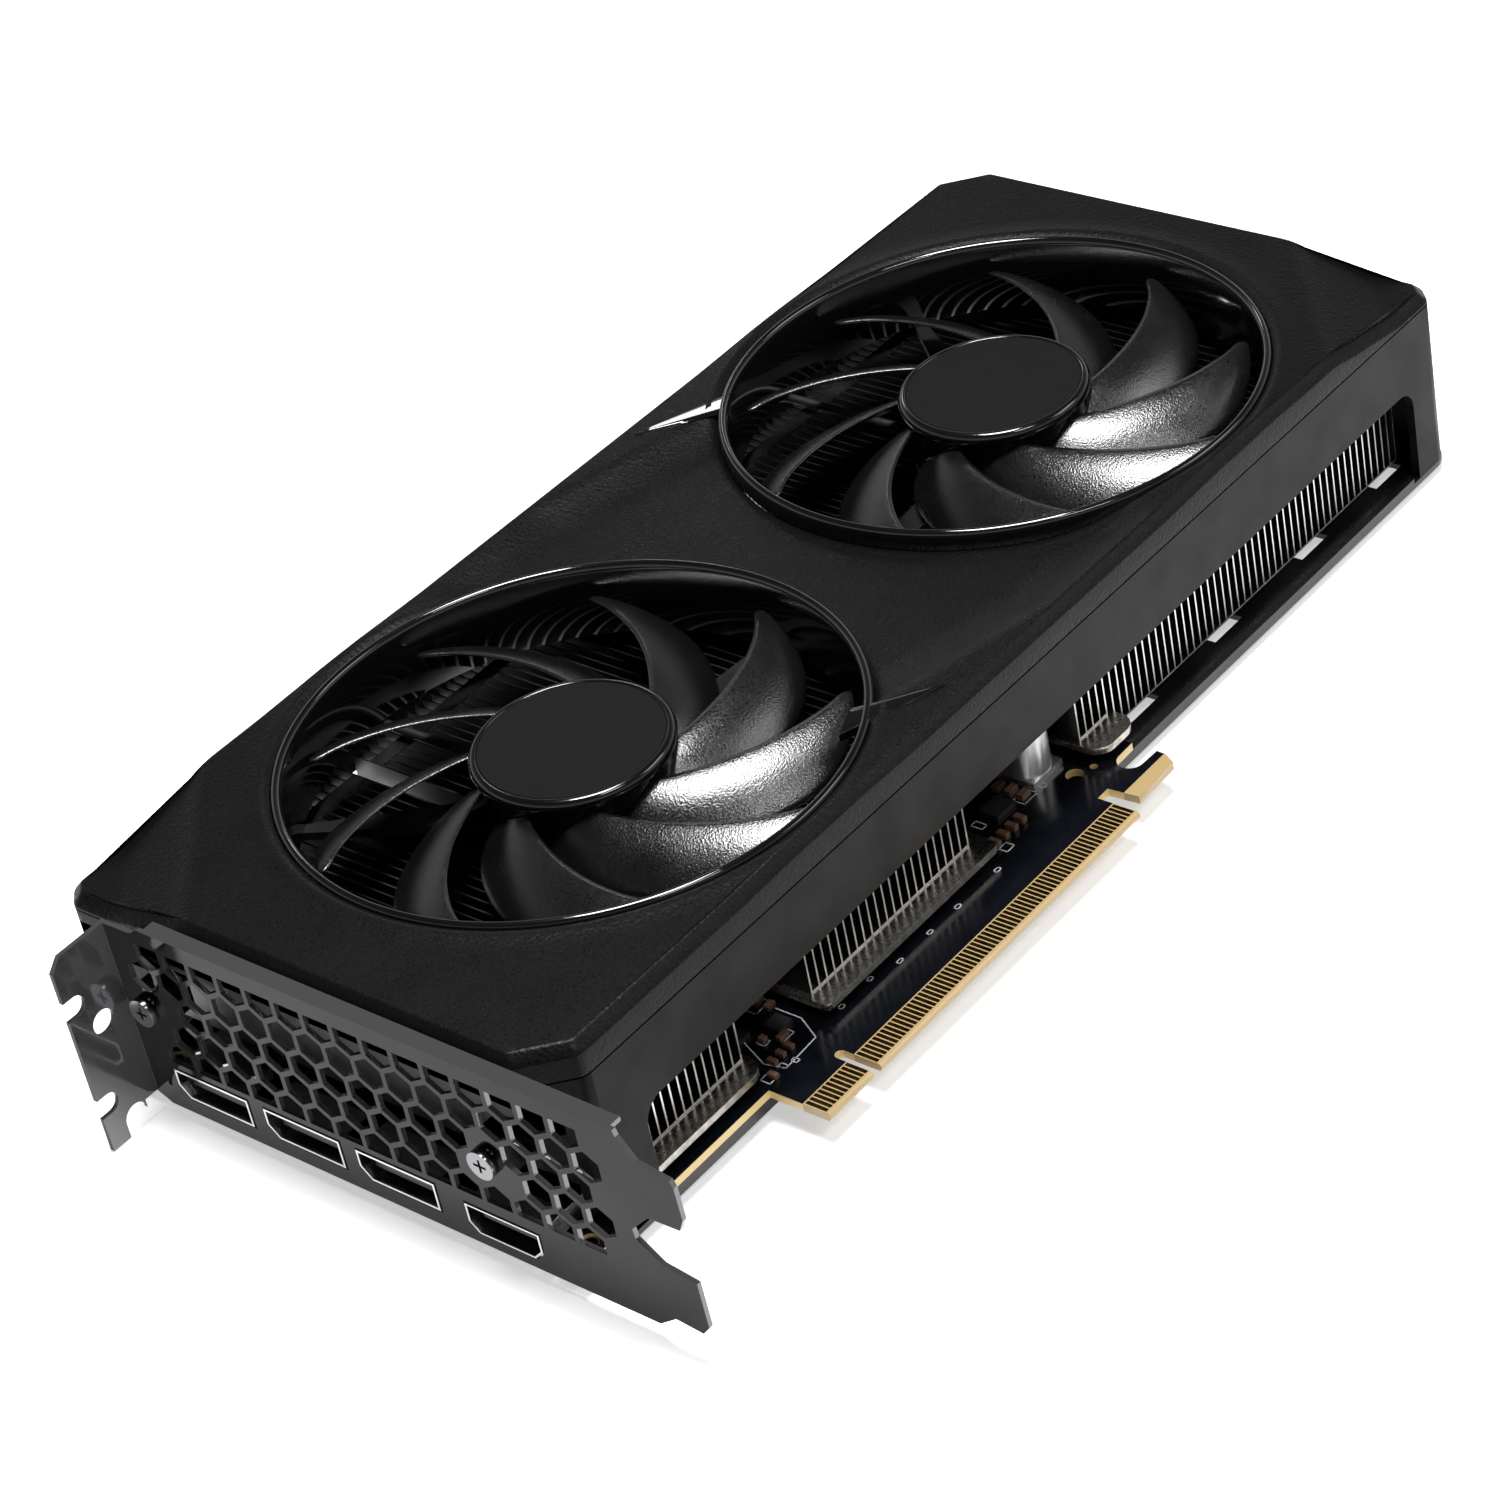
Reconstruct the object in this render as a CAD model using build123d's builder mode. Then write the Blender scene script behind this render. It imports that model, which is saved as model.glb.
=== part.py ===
from build123d import *
from math import cos, radians, sin
import os

# A dual-fan graphics card two slots thick, made of separate pieces.
# Frame: the origin is the middle of the key notch in the card edge, at the free end of the
# fingers and halfway through the board. +X runs towards the tail, -Y is the finger side and
# +Z is the fan side. Millimetres throughout; "above" heights count from the board's fan side.

os.makedirs("parts", exist_ok=True)

# Circuit board and its sixteen-lane card edge
BOARD_THICK = 1.57
BOARD_TOP = BOARD_THICK / 2
BOARD_LEFT = -56.7
BOARD_RIGHT = 87.5
BOARD_FOOT = 12.2
BOARD_HEAD = 111.0
KEY_WIDTH = 1.9
KEY_DEPTH = 8.25
SHORT_TAB_END = -12.15
LONG_TAB_END = 72.15
HOOK_START = 75.0
NOTCH_HEAD = 8.5
CONTACT_PITCH = 1.0
FIRST_CONTACT = 1.5
SHORT_TAB_CONTACTS = 11
LONG_TAB_CONTACTS = 71
CONTACT_LENGTH = 4.2
CONTACT_THICK = 0.05

# Slot bracket
FACE_X = -58.01
SHEET = 0.86
FACE_BACK = FACE_X + SHEET
FLANGE_Y = 104.84
SLOT_PITCH = 20.32
NOTCH_RADIUS = 1.9
FLANGE_HOLE_RADIUS = 2.2
HEX_PITCH = 6.3
HEX_ACROSS = 5.35
HEX_TOP = 31.6
HEX_FOOT = 6.9
BRACKET_SCREWS = [(100.3, 17.2), (26.6, 16.2)]

# Sockets on the bracket
DP_NEAR_Y = (81.2, 60.7, 40.2)
DP_WIDTH = 17.3
DP_TOP = 5.8
HDMI_NEAR_Y = 18.9
HDMI_WIDTH = 15.8
HDMI_LOW = -1.4
HDMI_TOP = 4.7
HDMI_LENGTH = 14.0
SOCKET_GAP = 0.25
SHELL = 0.4

# Shroud: top cover and side frame
FRONT_X = -54.5
TAIL_X = 192.0
NEAR_Y = 13.0
FAR_Y = 120.0
CORNER = 8.0
FACET_CORNER = 3.4
COVER_TOP = 35.5
SEAM = 29.5
WALL = 1.6
SKIN = 2.0
WINDOW_TOP = 16.0
FAR_WINDOW_TOP = 13.0
WINDOW_START = -37.1
WINDOW_END = 181.0
LEG_FOOT = 3.3
MIDDLE_X = 70.85
MIDDLE_Y = 66.0
VALLEY_DROP = 3.0
VALLEY_HALF_FLOOR = 9.0
VALLEY_HALF_MOUTH = 26.0
VALLEY_TURN = 21.8
FACET_SLOPE = 0.15
FACET_CREASE = (-34.5, 104.0)
FACET_TURN = 131.0

# Fans
FANS = {"front": (12.6, 66.0), "rear": (129.1, 66.0)}
ARM_ANGLES = {"front": (0, 125, 235), "rear": (180, 305, 55)}
ARM_REACH = 54.5
RING_OUTER = 49.6
RING_INNER = 47.8
RING_TOP = 35.8
BASE_LOW = 20.0
BASE_TOP = 21.6
HUB_RADIUS = 17.3
HUB_TOP = 34.2
HUB_LOW = 22.3
HUB_WALL = 1.85
CAP_RADIUS = 15.75
CAP_THICK = 0.6
SHAFT_RADIUS = 1.5
SHAFT_CLEARANCE = 0.03
BLADE_COUNT = 9
FIRST_TIP = 42.0
BLADE_THICK = 1.3

# Cooler
PLATE_LOW = 1.7
PLATE_TOP = 3.0
PLATE_NEAR_Y = 13.7
PLATE_FAR_Y = 105.0
FIN_PITCH = 2.0
FIN_THICK = 0.35
FIN_TOP = 18.6
FIN_NEAR_Y = 17.9
FIN_FAR_Y = 115.5
FIN_BRIDGE = 12.0
PIPE_RADIUS = 3.0
PIPE_ROWS = (40.0, 62.0, 84.0)
PIPE_START = -39.5
PIPE_END = 184.0
CHIP_X = 27.5
CHIP_Y = 62.0
COOLER_SCREWS = [(CHIP_X + 19 * a, CHIP_Y + 22 * b) for a in (-1, 1) for b in (-1, 1)]

# Backplate
BACK_LOW = -4.5
BACK_TOP = -3.4
BACK_SCREWS = [(-52.0, 15.2), (-52.0, 106.0), (2.5, 107.5), (52.5, 20.0), (84.0, 106.5), (84.0, 24.0)]


def above(height):
    """Row height of a level given above the board's fan side."""
    return BOARD_TOP + height


def save(part, name):
    part.label = name
    export_step(part, f"parts/{name}.step")


def span_box(x_span, y_span, z_span, mode=Mode.ADD):
    """A box between two corners."""
    size = [high - low for low, high in (x_span, y_span, z_span)]
    middle = [(high + low) / 2 for low, high in (x_span, y_span, z_span)]
    with Locations((middle[0], middle[1], above(middle[2]))):
        Box(*size, mode=mode)


def upright(radius, x, y, low, high, mode=Mode.ADD):
    """A vertical cylinder between two heights."""
    with Locations((x, y, above((low + high) / 2))):
        Cylinder(radius, high - low, mode=mode)


def upright_cone(low_radius, high_radius, x, y, low, high, mode=Mode.ADD):
    """A vertical cone between two heights."""
    with Locations((x, y, above((low + high) / 2))):
        Cone(low_radius, high_radius, high - low, mode=mode)


def turned(x, y):
    """The point half a turn round the middle of the cover."""
    return (2 * MIDDLE_X - x, 2 * MIDDLE_Y - y)


# ------------------------------------------------------------------ shroud

def shroud_outline(inset):
    """Sketch of the shroud seen from above, with two cut corners and two nearly round ones."""
    left, right = FRONT_X + inset, TAIL_X - inset
    near, far = NEAR_Y + inset, FAR_Y - inset
    cut, facet_cut = CORNER - 0.6 * inset, FACET_CORNER - 0.6 * inset
    with BuildSketch() as outline:
        with BuildLine():
            Polyline(
                (left + cut, near), (right - facet_cut, near), (right, near + facet_cut), (right, far - cut),
                (right - cut, far), (left + facet_cut, far), (left, far - facet_cut), (left, near + cut),
                close=True)
        make_face()
        fillet(outline.vertices(), radius=3.0)
    return outline.sketch


def cover_form(inset, drop):
    """Outer form of the cover, moved inwards and down by the given amounts."""
    top = above(COVER_TOP - drop)
    along = radians(VALLEY_TURN)
    with BuildPart() as form:
        with BuildSketch(Plane.XY.offset(above(SEAM - drop))):
            add(shroud_outline(inset))
        extrude(amount=COVER_TOP - SEAM)
        chamfer(form.faces().sort_by(Axis.Z)[-1].edges(), length=1.6)
        # A diagonal valley between the fans, where the rings stand proud of the cover.
        across = Plane(
            origin=(MIDDLE_X, MIDDLE_Y, top), x_dir=(cos(along), sin(along), 0),
            z_dir=(sin(along), -cos(along), 0))
        with BuildSketch(across):
            with BuildLine():
                Polyline(
                    (-VALLEY_HALF_MOUTH, 0.01), (-VALLEY_HALF_FLOOR, -VALLEY_DROP),
                    (VALLEY_HALF_FLOOR, -VALLEY_DROP), (VALLEY_HALF_MOUTH, 0.01), close=True)
            make_face()
        extrude(amount=80, both=True, mode=Mode.SUBTRACT)
        # Sloped facets on two opposite corners.
        for crease, turn in ((FACET_CREASE, FACET_TURN), (turned(*FACET_CREASE), FACET_TURN + 180)):
            out_x, out_y = cos(radians(turn)), sin(radians(turn))
            facet = Plane(
                origin=(crease[0], crease[1], top), x_dir=(out_y, -out_x, 0),
                z_dir=(FACET_SLOPE * out_x, FACET_SLOPE * out_y, 1))
            with BuildSketch(facet):
                Rectangle(90, 90)
            extrude(amount=8, mode=Mode.SUBTRACT)
    return form.part


def accent_outline(grow):
    """Gloss spurs that run from a ring to the cover's edge, one at each side."""
    spur = [(107.3, 110.9), (89.0, 118.2), (102.0, 108.6)]
    with BuildSketch() as outline:
        for points in (spur, [turned(*point) for point in spur]):
            with BuildLine():
                Polyline(*points, close=True)
            make_face()
        if grow:
            offset(amount=grow, kind=Kind.INTERSECTION)
    return outline.sketch


FAN_POSTS = [
    (x + ARM_REACH * cos(radians(angle)), y + ARM_REACH * sin(radians(angle)))
    for fan, (x, y) in FANS.items() for angle in ARM_ANGLES[fan]]
COVER_POSTS = [(-46.0, 21.5), (-46.0, 111.5), (184.0, 21.5), (184.0, 111.5)]
TAB_LOW = 26.0
TAB_TOP = 28.0

cover_outer = cover_form(0, 0)
cover_inner = cover_form(SKIN, SKIN)
post_limit = cover_form(0.6, 0.6)

with BuildPart() as fan_posts:
    with Locations(*[(x, y, above(32.0)) for x, y in FAN_POSTS + COVER_POSTS]):
        Cylinder(2.6, 8.0)
    add(post_limit, mode=Mode.INTERSECT)
    for x, y in FAN_POSTS:
        upright(2.6, x, y, BASE_TOP, SEAM)
    for x, y in COVER_POSTS:
        upright(2.6, x, y, TAB_TOP, SEAM)

with BuildPart() as top_cover:
    add(cover_outer)
    add(cover_inner, mode=Mode.SUBTRACT)
    add(fan_posts.part)
    for x, y in FANS.values():
        upright(RING_OUTER + 0.1, x, y, SEAM - 2, COVER_TOP + 2, mode=Mode.SUBTRACT)
    with BuildSketch(Plane.XY.offset(above(SEAM + 1.8))):
        add(accent_outline(0.08))
    extrude(amount=8, mode=Mode.SUBTRACT)
    for x, y in FAN_POSTS:
        upright(1.25, x, y, BASE_TOP - 1, 29.0, mode=Mode.SUBTRACT)
    for x, y in COVER_POSTS:
        upright(1.25, x, y, TAB_TOP - 1, 31.0, mode=Mode.SUBTRACT)
save(top_cover.part, "top_cover")

with BuildPart() as cover_accents:
    with BuildSketch(Plane.XY.offset(above(SEAM + 1.8))):
        add(accent_outline(0))
    extrude(amount=4.1)
save(cover_accents.part, "cover_accents")

with BuildPart() as side_frame:
    with BuildSketch(Plane.XY.offset(above(BACK_TOP + 0.05))):
        add(shroud_outline(0))
        add(shroud_outline(WALL), mode=Mode.SUBTRACT)
    extrude(amount=SEAM - 0.3 - BACK_TOP - 0.05)
    # Long windows on both sides, with rounded upper corners. The far one is lower.
    for outside_y, window_top in ((NEAR_Y + WALL + 1, WINDOW_TOP), (FAR_Y + 1, FAR_WINDOW_TOP)):
        with BuildSketch(Plane.XZ.offset(-outside_y)) as window:
            with BuildLine():
                Polyline(
                    (WINDOW_START, above(-6)), (WINDOW_START, above(window_top)),
                    (WINDOW_END, above(window_top)), (WINDOW_END, above(-6)), close=True)
            make_face()
            fillet(window.vertices().group_by(Axis.Y)[-1], radius=4.0)
        extrude(amount=WALL + 2, mode=Mode.SUBTRACT)
    # The front stands above the board and the first base plate, and is open towards the bracket.
    span_box(
        (FRONT_X - 1, WINDOW_START + 0.1), (NEAR_Y - 1, FAR_Y + 1), (BACK_TOP - 1, LEG_FOOT), mode=Mode.SUBTRACT)
    span_box((FRONT_X - 1, FRONT_X + 7), (NEAR_Y + 3.5, FAR_Y - 3.5), (BACK_TOP, 27.0), mode=Mode.SUBTRACT)
    # Tabs that the bracket's face screws go into.
    for y, z in BRACKET_SCREWS:
        side = 1 if y < MIDDLE_Y else -1
        wall_y = NEAR_Y if side > 0 else FAR_Y
        with BuildSketch(Plane.XY.offset(above(z - 3))):
            with BuildLine():
                Polyline(
                    (FACE_BACK + 0.05, y - 3.2 * side), (FACE_BACK + 0.05, y + 3.2 * side),
                    (FACE_BACK + 6, y + 3.2 * side), (FACE_BACK + 6, wall_y + 6 * side),
                    (FACE_BACK + 9.2, wall_y + 2.8 * side), (FACE_BACK + 8.5, wall_y + 2.4 * side),
                    (FACE_BACK + 4, wall_y + 6.8 * side), (FACE_BACK + 4, y - 3.2 * side), close=True)
            make_face()
        extrude(amount=6)
    for y, z in BRACKET_SCREWS:
        with Locations((FACE_BACK + 3, y, above(z))):
            Cylinder(1.35, 8.0, rotation=(0, 90, 0), mode=Mode.SUBTRACT)
    # Corner tabs that the cover is screwed to.
    for x, y in COVER_POSTS:
        x_wall = FRONT_X + 0.8 if x < MIDDLE_X else TAIL_X - 0.8
        span_box((min(x - 3, x_wall), max(x + 3, x_wall)), (y - 3, y + 3), (TAB_LOW, TAB_TOP - 0.05))
        upright(1.25, x, y, TAB_LOW - 1, TAB_TOP + 1, mode=Mode.SUBTRACT)
save(side_frame.part, "side_frame")

with BuildPart() as cover_screws:
    for x, y in COVER_POSTS:
        upright(2.2, x, y, TAB_LOW - 1.3, TAB_LOW - 0.02)
        upright(1.2, x, y, TAB_LOW - 0.1, 30.5)
save(cover_screws.part, "cover_screws")


# -------------------------------------------------------------------- fans

# Each station of a blade: distance from the axis, then the angles of its hollow edge and of
# its round edge, counted from the tip, and the heights of those two edges.
BLADE_STATIONS = [
    (16.2, -49.0, -86.0, 30.6, 24.0),
    (22.0, -35.5, -71.0, 30.9, 23.7),
    (29.0, -24.5, -53.5, 31.1, 23.7),
    (36.0, -15.5, -39.0, 31.2, 24.2),
    (42.0, -8.0, -26.0, 31.2, 25.6),
    (46.0, -2.0, -11.0, 31.0, 28.6),
]


def blade_section(reach, edge_angle, back_angle, edge_height, back_height):
    """One rounded section of a blade, set square to the blade's own line."""
    ends = [
        Vector(reach * cos(radians(angle)), reach * sin(radians(angle)), above(height))
        for angle, height in ((edge_angle, edge_height), (back_angle, back_height))]
    chord = ends[0] - ends[1]
    middle = (ends[0] + ends[1]) * 0.5
    outward = Vector(middle.X, middle.Y, 0).normalized()
    station = Plane(origin=middle, x_dir=chord, z_dir=outward - chord * (outward.dot(chord) / chord.dot(chord)))
    with BuildSketch(station) as section:
        SlotOverall(chord.length, BLADE_THICK)
    return section.sketch


with BuildPart() as blade:
    for station in BLADE_STATIONS:
        add(blade_section(*station))
    loft()

for fan, (fan_x, fan_y) in FANS.items():
    hub_plane = Plane.XY.offset(above(HUB_LOW))
    with BuildPart() as rotor:
        with BuildSketch(hub_plane):
            Circle(HUB_RADIUS)
        extrude(amount=HUB_TOP - HUB_LOW)
        fillet(rotor.edges().group_by(Axis.Z)[-1], radius=1.0)
        with PolarLocations(0, BLADE_COUNT, start_angle=FIRST_TIP):
            add(blade.part)
        upright(HUB_RADIUS - HUB_WALL, 0, 0, HUB_LOW - 3, 32.4, mode=Mode.SUBTRACT)
        upright(3.6, 0, 0, 30.6, 32.6)
        upright(CAP_RADIUS + 0.05, 0, 0, HUB_TOP - CAP_THICK, HUB_TOP + 1, mode=Mode.SUBTRACT)
        upright(SHAFT_RADIUS, 0, 0, 30.0, 33.0, mode=Mode.SUBTRACT)
    save(Pos(fan_x, fan_y, 0) * rotor.part, f"{fan}_fan_rotor")

    with BuildPart() as hub_cap:
        upright(CAP_RADIUS, fan_x, fan_y, HUB_TOP - CAP_THICK, HUB_TOP - 0.05)
        chamfer(hub_cap.edges().group_by(Axis.Z)[-1], length=0.15)
    save(hub_cap.part, f"{fan}_hub_cap")

    with BuildPart() as shaft:
        upright(SHAFT_RADIUS, fan_x, fan_y, BASE_TOP, 33.0)
        chamfer(shaft.edges().group_by(Axis.Z)[0], length=0.3)
    save(shaft.part, f"{fan}_fan_shaft")

    with BuildPart() as bearing:
        upright(3.2, fan_x, fan_y, BASE_TOP + 0.2, 30.2)
        upright(SHAFT_RADIUS + SHAFT_CLEARANCE, fan_x, fan_y, BASE_TOP, 31, mode=Mode.SUBTRACT)
    save(bearing.part, f"{fan}_fan_bearing")

    with BuildPart() as magnet:
        upright(HUB_RADIUS - HUB_WALL - 0.02, fan_x, fan_y, 23.2, 31.5)
        upright(13.0, fan_x, fan_y, 23, 32, mode=Mode.SUBTRACT)
    save(magnet.part, f"{fan}_fan_magnet")

    # Wound stator: four poles with a coil round each.
    with BuildPart() as stator:
        with BuildSketch(Plane.XY.offset(above(23.6))):
            Circle(6.2)
            with PolarLocations(0, 4):
                with Locations((8.4, 0)):
                    Rectangle(5.2, 3.4)
            with PolarLocations(0, 4):
                with Locations((11.3, 0)):
                    Rectangle(1.6, 8.0)
            Circle(4.25, mode=Mode.SUBTRACT)
        extrude(amount=5.6)
        with PolarLocations(0, 4):
            with Locations((8.4, 0, above(26.4))):
                Box(3.4, 6.0, 7.0)
    save(Pos(fan_x, fan_y, 0) * stator.part, f"{fan}_fan_stator")

    with BuildPart() as base:
        with BuildSketch(Plane.XY.offset(above(BASE_LOW))):
            Circle(16.0)
            for angle in ARM_ANGLES[fan]:
                with Locations(Rot(0, 0, angle)):
                    with Locations((ARM_REACH / 2, 0)):
                        Trapezoid(9.0, ARM_REACH, 86, rotation=-90)
                    with Locations((ARM_REACH, 0)):
                        Circle(3.4)
        extrude(amount=BASE_TOP - BASE_LOW)
        upright(4.2, 0, 0, BASE_LOW, 30.2)
        upright(3.22, 0, 0, BASE_TOP - 0.4, 31, mode=Mode.SUBTRACT)
        for angle in ARM_ANGLES[fan]:
            upright(
                1.25, ARM_REACH * cos(radians(angle)), ARM_REACH * sin(radians(angle)),
                BASE_LOW - 1, BASE_TOP + 1, mode=Mode.SUBTRACT)
    save(Pos(fan_x, fan_y, 0) * base.part, f"{fan}_fan_base")

    with BuildPart() as ring:
        upright(RING_OUTER, fan_x, fan_y, BASE_TOP + 0.05, RING_TOP)
        upright(RING_INNER, fan_x, fan_y, BASE_TOP - 1, RING_TOP + 1, mode=Mode.SUBTRACT)
        fillet(ring.edges().group_by(Axis.Z)[-1], radius=0.7)
    save(ring.part, f"{fan}_fan_ring")

with BuildPart() as fan_screws:
    for x, y in FAN_POSTS:
        upright(2.2, x, y, BASE_LOW - 1.1, BASE_LOW - 0.02)
        upright(1.2, x, y, BASE_LOW - 0.1, 28.0)
save(fan_screws.part, "fan_screws")


# Fan leads run over the fins to the far wall, along it, and down to their headers.
LEAD_RADIUS = 0.85
LEAD_HEIGHT = 20.5
LEAD_WALL_Y = 117.05
LEAD_BEND = 3.0
HEADER_X = {"front": -3.8, "rear": 54.6}
HEADER_BACK_Y = 105.6

for fan, (fan_x, fan_y) in FANS.items():
    exit_x = fan_x + (2.0 if fan == "front" else -2.0)
    route = [
        (exit_x, fan_y + 16.0, above(LEAD_HEIGHT)), (exit_x, LEAD_WALL_Y, above(LEAD_HEIGHT)),
        (HEADER_X[fan], LEAD_WALL_Y, above(LEAD_HEIGHT)), (HEADER_X[fan], LEAD_WALL_Y, above(2.4)),
        (HEADER_X[fan], HEADER_BACK_Y + 5.1, above(2.4))]
    with BuildPart() as lead:
        with BuildLine() as path:
            FilletPolyline(*route, radius=LEAD_BEND)
        with BuildSketch(Plane(origin=route[0], z_dir=(0, 1, 0))):
            Circle(LEAD_RADIUS)
        sweep(path=path.wire())
    save(lead.part, f"{fan}_fan_lead")

with BuildPart() as fan_headers:
    for header_x in HEADER_X.values():
        span_box((header_x - 4.9, header_x + 4.9), (HEADER_BACK_Y, HEADER_BACK_Y + 5), (0.02, 4.4))
save(fan_headers.part, "fan_headers")


# ------------------------------------------------------------------ cooler

def base_plate(name, x_span, near_y, corner, legs=()):
    with BuildPart() as plate:
        with BuildSketch(Plane.XY.offset(above(PLATE_LOW))):
            with Locations(((x_span[0] + x_span[1]) / 2, (near_y + PLATE_FAR_Y) / 2)):
                RectangleRounded(x_span[1] - x_span[0], PLATE_FAR_Y - near_y, corner)
        extrude(amount=PLATE_TOP - PLATE_LOW)
        for x, y in legs:
            upright(2.3, x, y, 0.02, PLATE_LOW)
            upright(1.25, x, y, -1, PLATE_TOP - 0.5, mode=Mode.SUBTRACT)
    save(plate.part, name)


base_plate("front_base_plate", (-40.3, -9.8), PLATE_NEAR_Y, 3.5)
base_plate("cold_plate", (5.6, 52.0), PLATE_NEAR_Y, 1.2, legs=COOLER_SCREWS)
base_plate("tail_base_plate", (79.6, 90.4), 12.4, 3.5)


def fin_stack(name, zones):
    """Upright fins across the card on folded feet, laced together near both ends.

    Each zone is its first fin's place, its last fin's place and the height of its feet.
    """
    with BuildPart() as stack:
        with BuildSketch(Plane.XZ.offset(-FIN_FAR_Y)):
            for first, last, foot in zones:
                count = round((last - first) / FIN_PITCH) + 1
                middle = (first + last) / 2
                height = FIN_TOP - foot
                with Locations((middle, above(foot + height / 2))):
                    with GridLocations(FIN_PITCH, 1, count, 1):
                        Rectangle(FIN_THICK, height)
                with Locations((middle, above(foot + FIN_THICK / 2))):
                    Rectangle(last - first + FIN_THICK, FIN_THICK)
        extrude(amount=FIN_FAR_Y - FIN_NEAR_Y)
        start, end = zones[0][0], zones[-1][1]
        for lace_y in (FIN_NEAR_Y + 4, FIN_FAR_Y - 7):
            span_box((start, end), (lace_y, lace_y + 3), (FIN_TOP - FIN_THICK, FIN_TOP))
        for pipe_y in PIPE_ROWS:
            with Locations(((start + end) / 2, pipe_y, above(PLATE_TOP + PIPE_RADIUS))):
                Cylinder(PIPE_RADIUS + 0.05, end - start + 4, rotation=(0, 90, 0), mode=Mode.SUBTRACT)
    save(stack.part, name)


SEAT = PLATE_TOP + 0.02
fin_stack("front_fin_stack", [(-49.0, -43.0, 8.0), (-39.0, -11.0, SEAT), (-9.0, 3.0, FIN_BRIDGE)])
fin_stack("middle_fin_stack", [(7.0, 49.0, SEAT), (51.0, 77.0, FIN_BRIDGE)])
fin_stack("tail_fin_stack", [(81.0, 89.0, SEAT), (91.0, 181.0, -0.7)])

with BuildPart() as heat_pipes:
    for pipe_y in PIPE_ROWS:
        with Locations(((PIPE_START + PIPE_END) / 2, pipe_y, above(PLATE_TOP + PIPE_RADIUS + 0.02))):
            Cylinder(PIPE_RADIUS, PIPE_END - PIPE_START, rotation=(0, 90, 0))
    chamfer(heat_pipes.edges().filter_by(GeomType.CIRCLE), length=1.6)
save(heat_pipes.part, "heat_pipes")

MEMORY = [(CHIP_X + 8.4 * a, CHIP_Y + 27.5 * b) for a in (-1, 1) for b in (-1, 1)]
STAGE_X = -30.5
STAGE_ROWS = (28.0, 39.0, 50.0, 61.0, 72.0, 83.0, 94.0)

with BuildPart() as thermal_pads:
    for x, y in MEMORY:
        span_box((x - 7, x + 7), (y - 5.5, y + 5.5), (1.22, PLATE_LOW - 0.02))
    span_box((STAGE_X - 3, STAGE_X + 3), (25.0, 97.0), (0.92, PLATE_LOW - 0.02))
save(thermal_pads.part, "thermal_pads")

# Sprung cross behind the chip, drawn up by four screws through the board.
with BuildPart() as cooler_bracket:
    with BuildSketch(Plane.XY.offset(above(-3.1))):
        for side in (-1, 1):
            tilt = 49.18 * side
            with Locations((CHIP_X, CHIP_Y)):
                SlotCenterToCenter(58.14, 7.0, rotation=tilt)
        with Locations((CHIP_X, CHIP_Y)):
            Circle(9.0)
            Circle(5.0, mode=Mode.SUBTRACT)
        with Locations(*COOLER_SCREWS):
            Circle(1.5, mode=Mode.SUBTRACT)
    extrude(amount=0.7)
save(cooler_bracket.part, "cooler_bracket")

with BuildPart() as cooler_screws:
    for x, y in COOLER_SCREWS:
        upright(2.6, x, y, -2.38, -1.62)
        upright(1.2, x, y, -2.3, PLATE_TOP - 0.6)
        upright(1.2, x, y, -3.1, -2.3)
save(cooler_screws.part, "cooler_screws")


# ------------------------------------------------------------------- board

with BuildPart() as circuit_board:
    with BuildSketch(Plane.XY.offset(-BOARD_TOP)):
        with BuildLine():
            edge = Polyline(
                (87.5, 12.1), (BOARD_RIGHT, BOARD_HEAD), (BOARD_LEFT, BOARD_HEAD), (BOARD_LEFT, BOARD_FOOT),
                (SHORT_TAB_END, BOARD_FOOT), (SHORT_TAB_END, 0), (LONG_TAB_END, 0),
                (LONG_TAB_END, NOTCH_HEAD), (HOOK_START, NOTCH_HEAD), (HOOK_START + 0.5, 2.4),
                (86.0, 2.7), (87.3, 5.1), (87.4, 7.05), (83.2, 7.2))
            ThreePointArc(edge @ 1, (81.0, 9.5), (83.6, 12.0))
            Line((83.6, 12.0), edge @ 0)
        make_face()
        # Key notch between the two finger tabs.
        with Locations((0, KEY_DEPTH / 2 - KEY_WIDTH / 4)):
            Rectangle(KEY_WIDTH, KEY_DEPTH - KEY_WIDTH / 2, mode=Mode.SUBTRACT)
        with Locations((0, KEY_DEPTH - KEY_WIDTH / 2)):
            Circle(KEY_WIDTH / 2, mode=Mode.SUBTRACT)
        # Cut-out that the low HDMI socket sits in.
        with Locations((BOARD_LEFT, HDMI_NEAR_Y + HDMI_WIDTH / 2)):
            Rectangle(2 * HDMI_LENGTH - 2, HDMI_WIDTH + 0.4, mode=Mode.SUBTRACT)
        with Locations((75.8, 15.8), *BACK_SCREWS, *COOLER_SCREWS):
            Circle(1.6, mode=Mode.SUBTRACT)
        with Locations((79.1, 14.2)):
            Circle(0.7, mode=Mode.SUBTRACT)
    extrude(amount=BOARD_THICK)
    fingertips = circuit_board.edges().filter_by(Axis.X).group_by(Axis.Y)[0]
    chamfer(fingertips, length=0.45)
save(circuit_board.part, "circuit_board")

with BuildPart() as edge_contacts:
    for side in (1, -1):
        level = BOARD_TOP + 0.01 if side > 0 else -BOARD_TOP - 0.01 - CONTACT_THICK
        with BuildSketch(Plane.XY.offset(level)):
            for first, count in ((FIRST_CONTACT, LONG_TAB_CONTACTS), (-FIRST_CONTACT, -SHORT_TAB_CONTACTS)):
                step = 1 if count > 0 else -1
                for number in range(abs(count)):
                    with Locations((first + step * number * CONTACT_PITCH, 0.9 + CONTACT_LENGTH / 2)):
                        Rectangle(0.7, CONTACT_LENGTH)
        extrude(amount=CONTACT_THICK)
save(edge_contacts.part, "edge_contacts")

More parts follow.
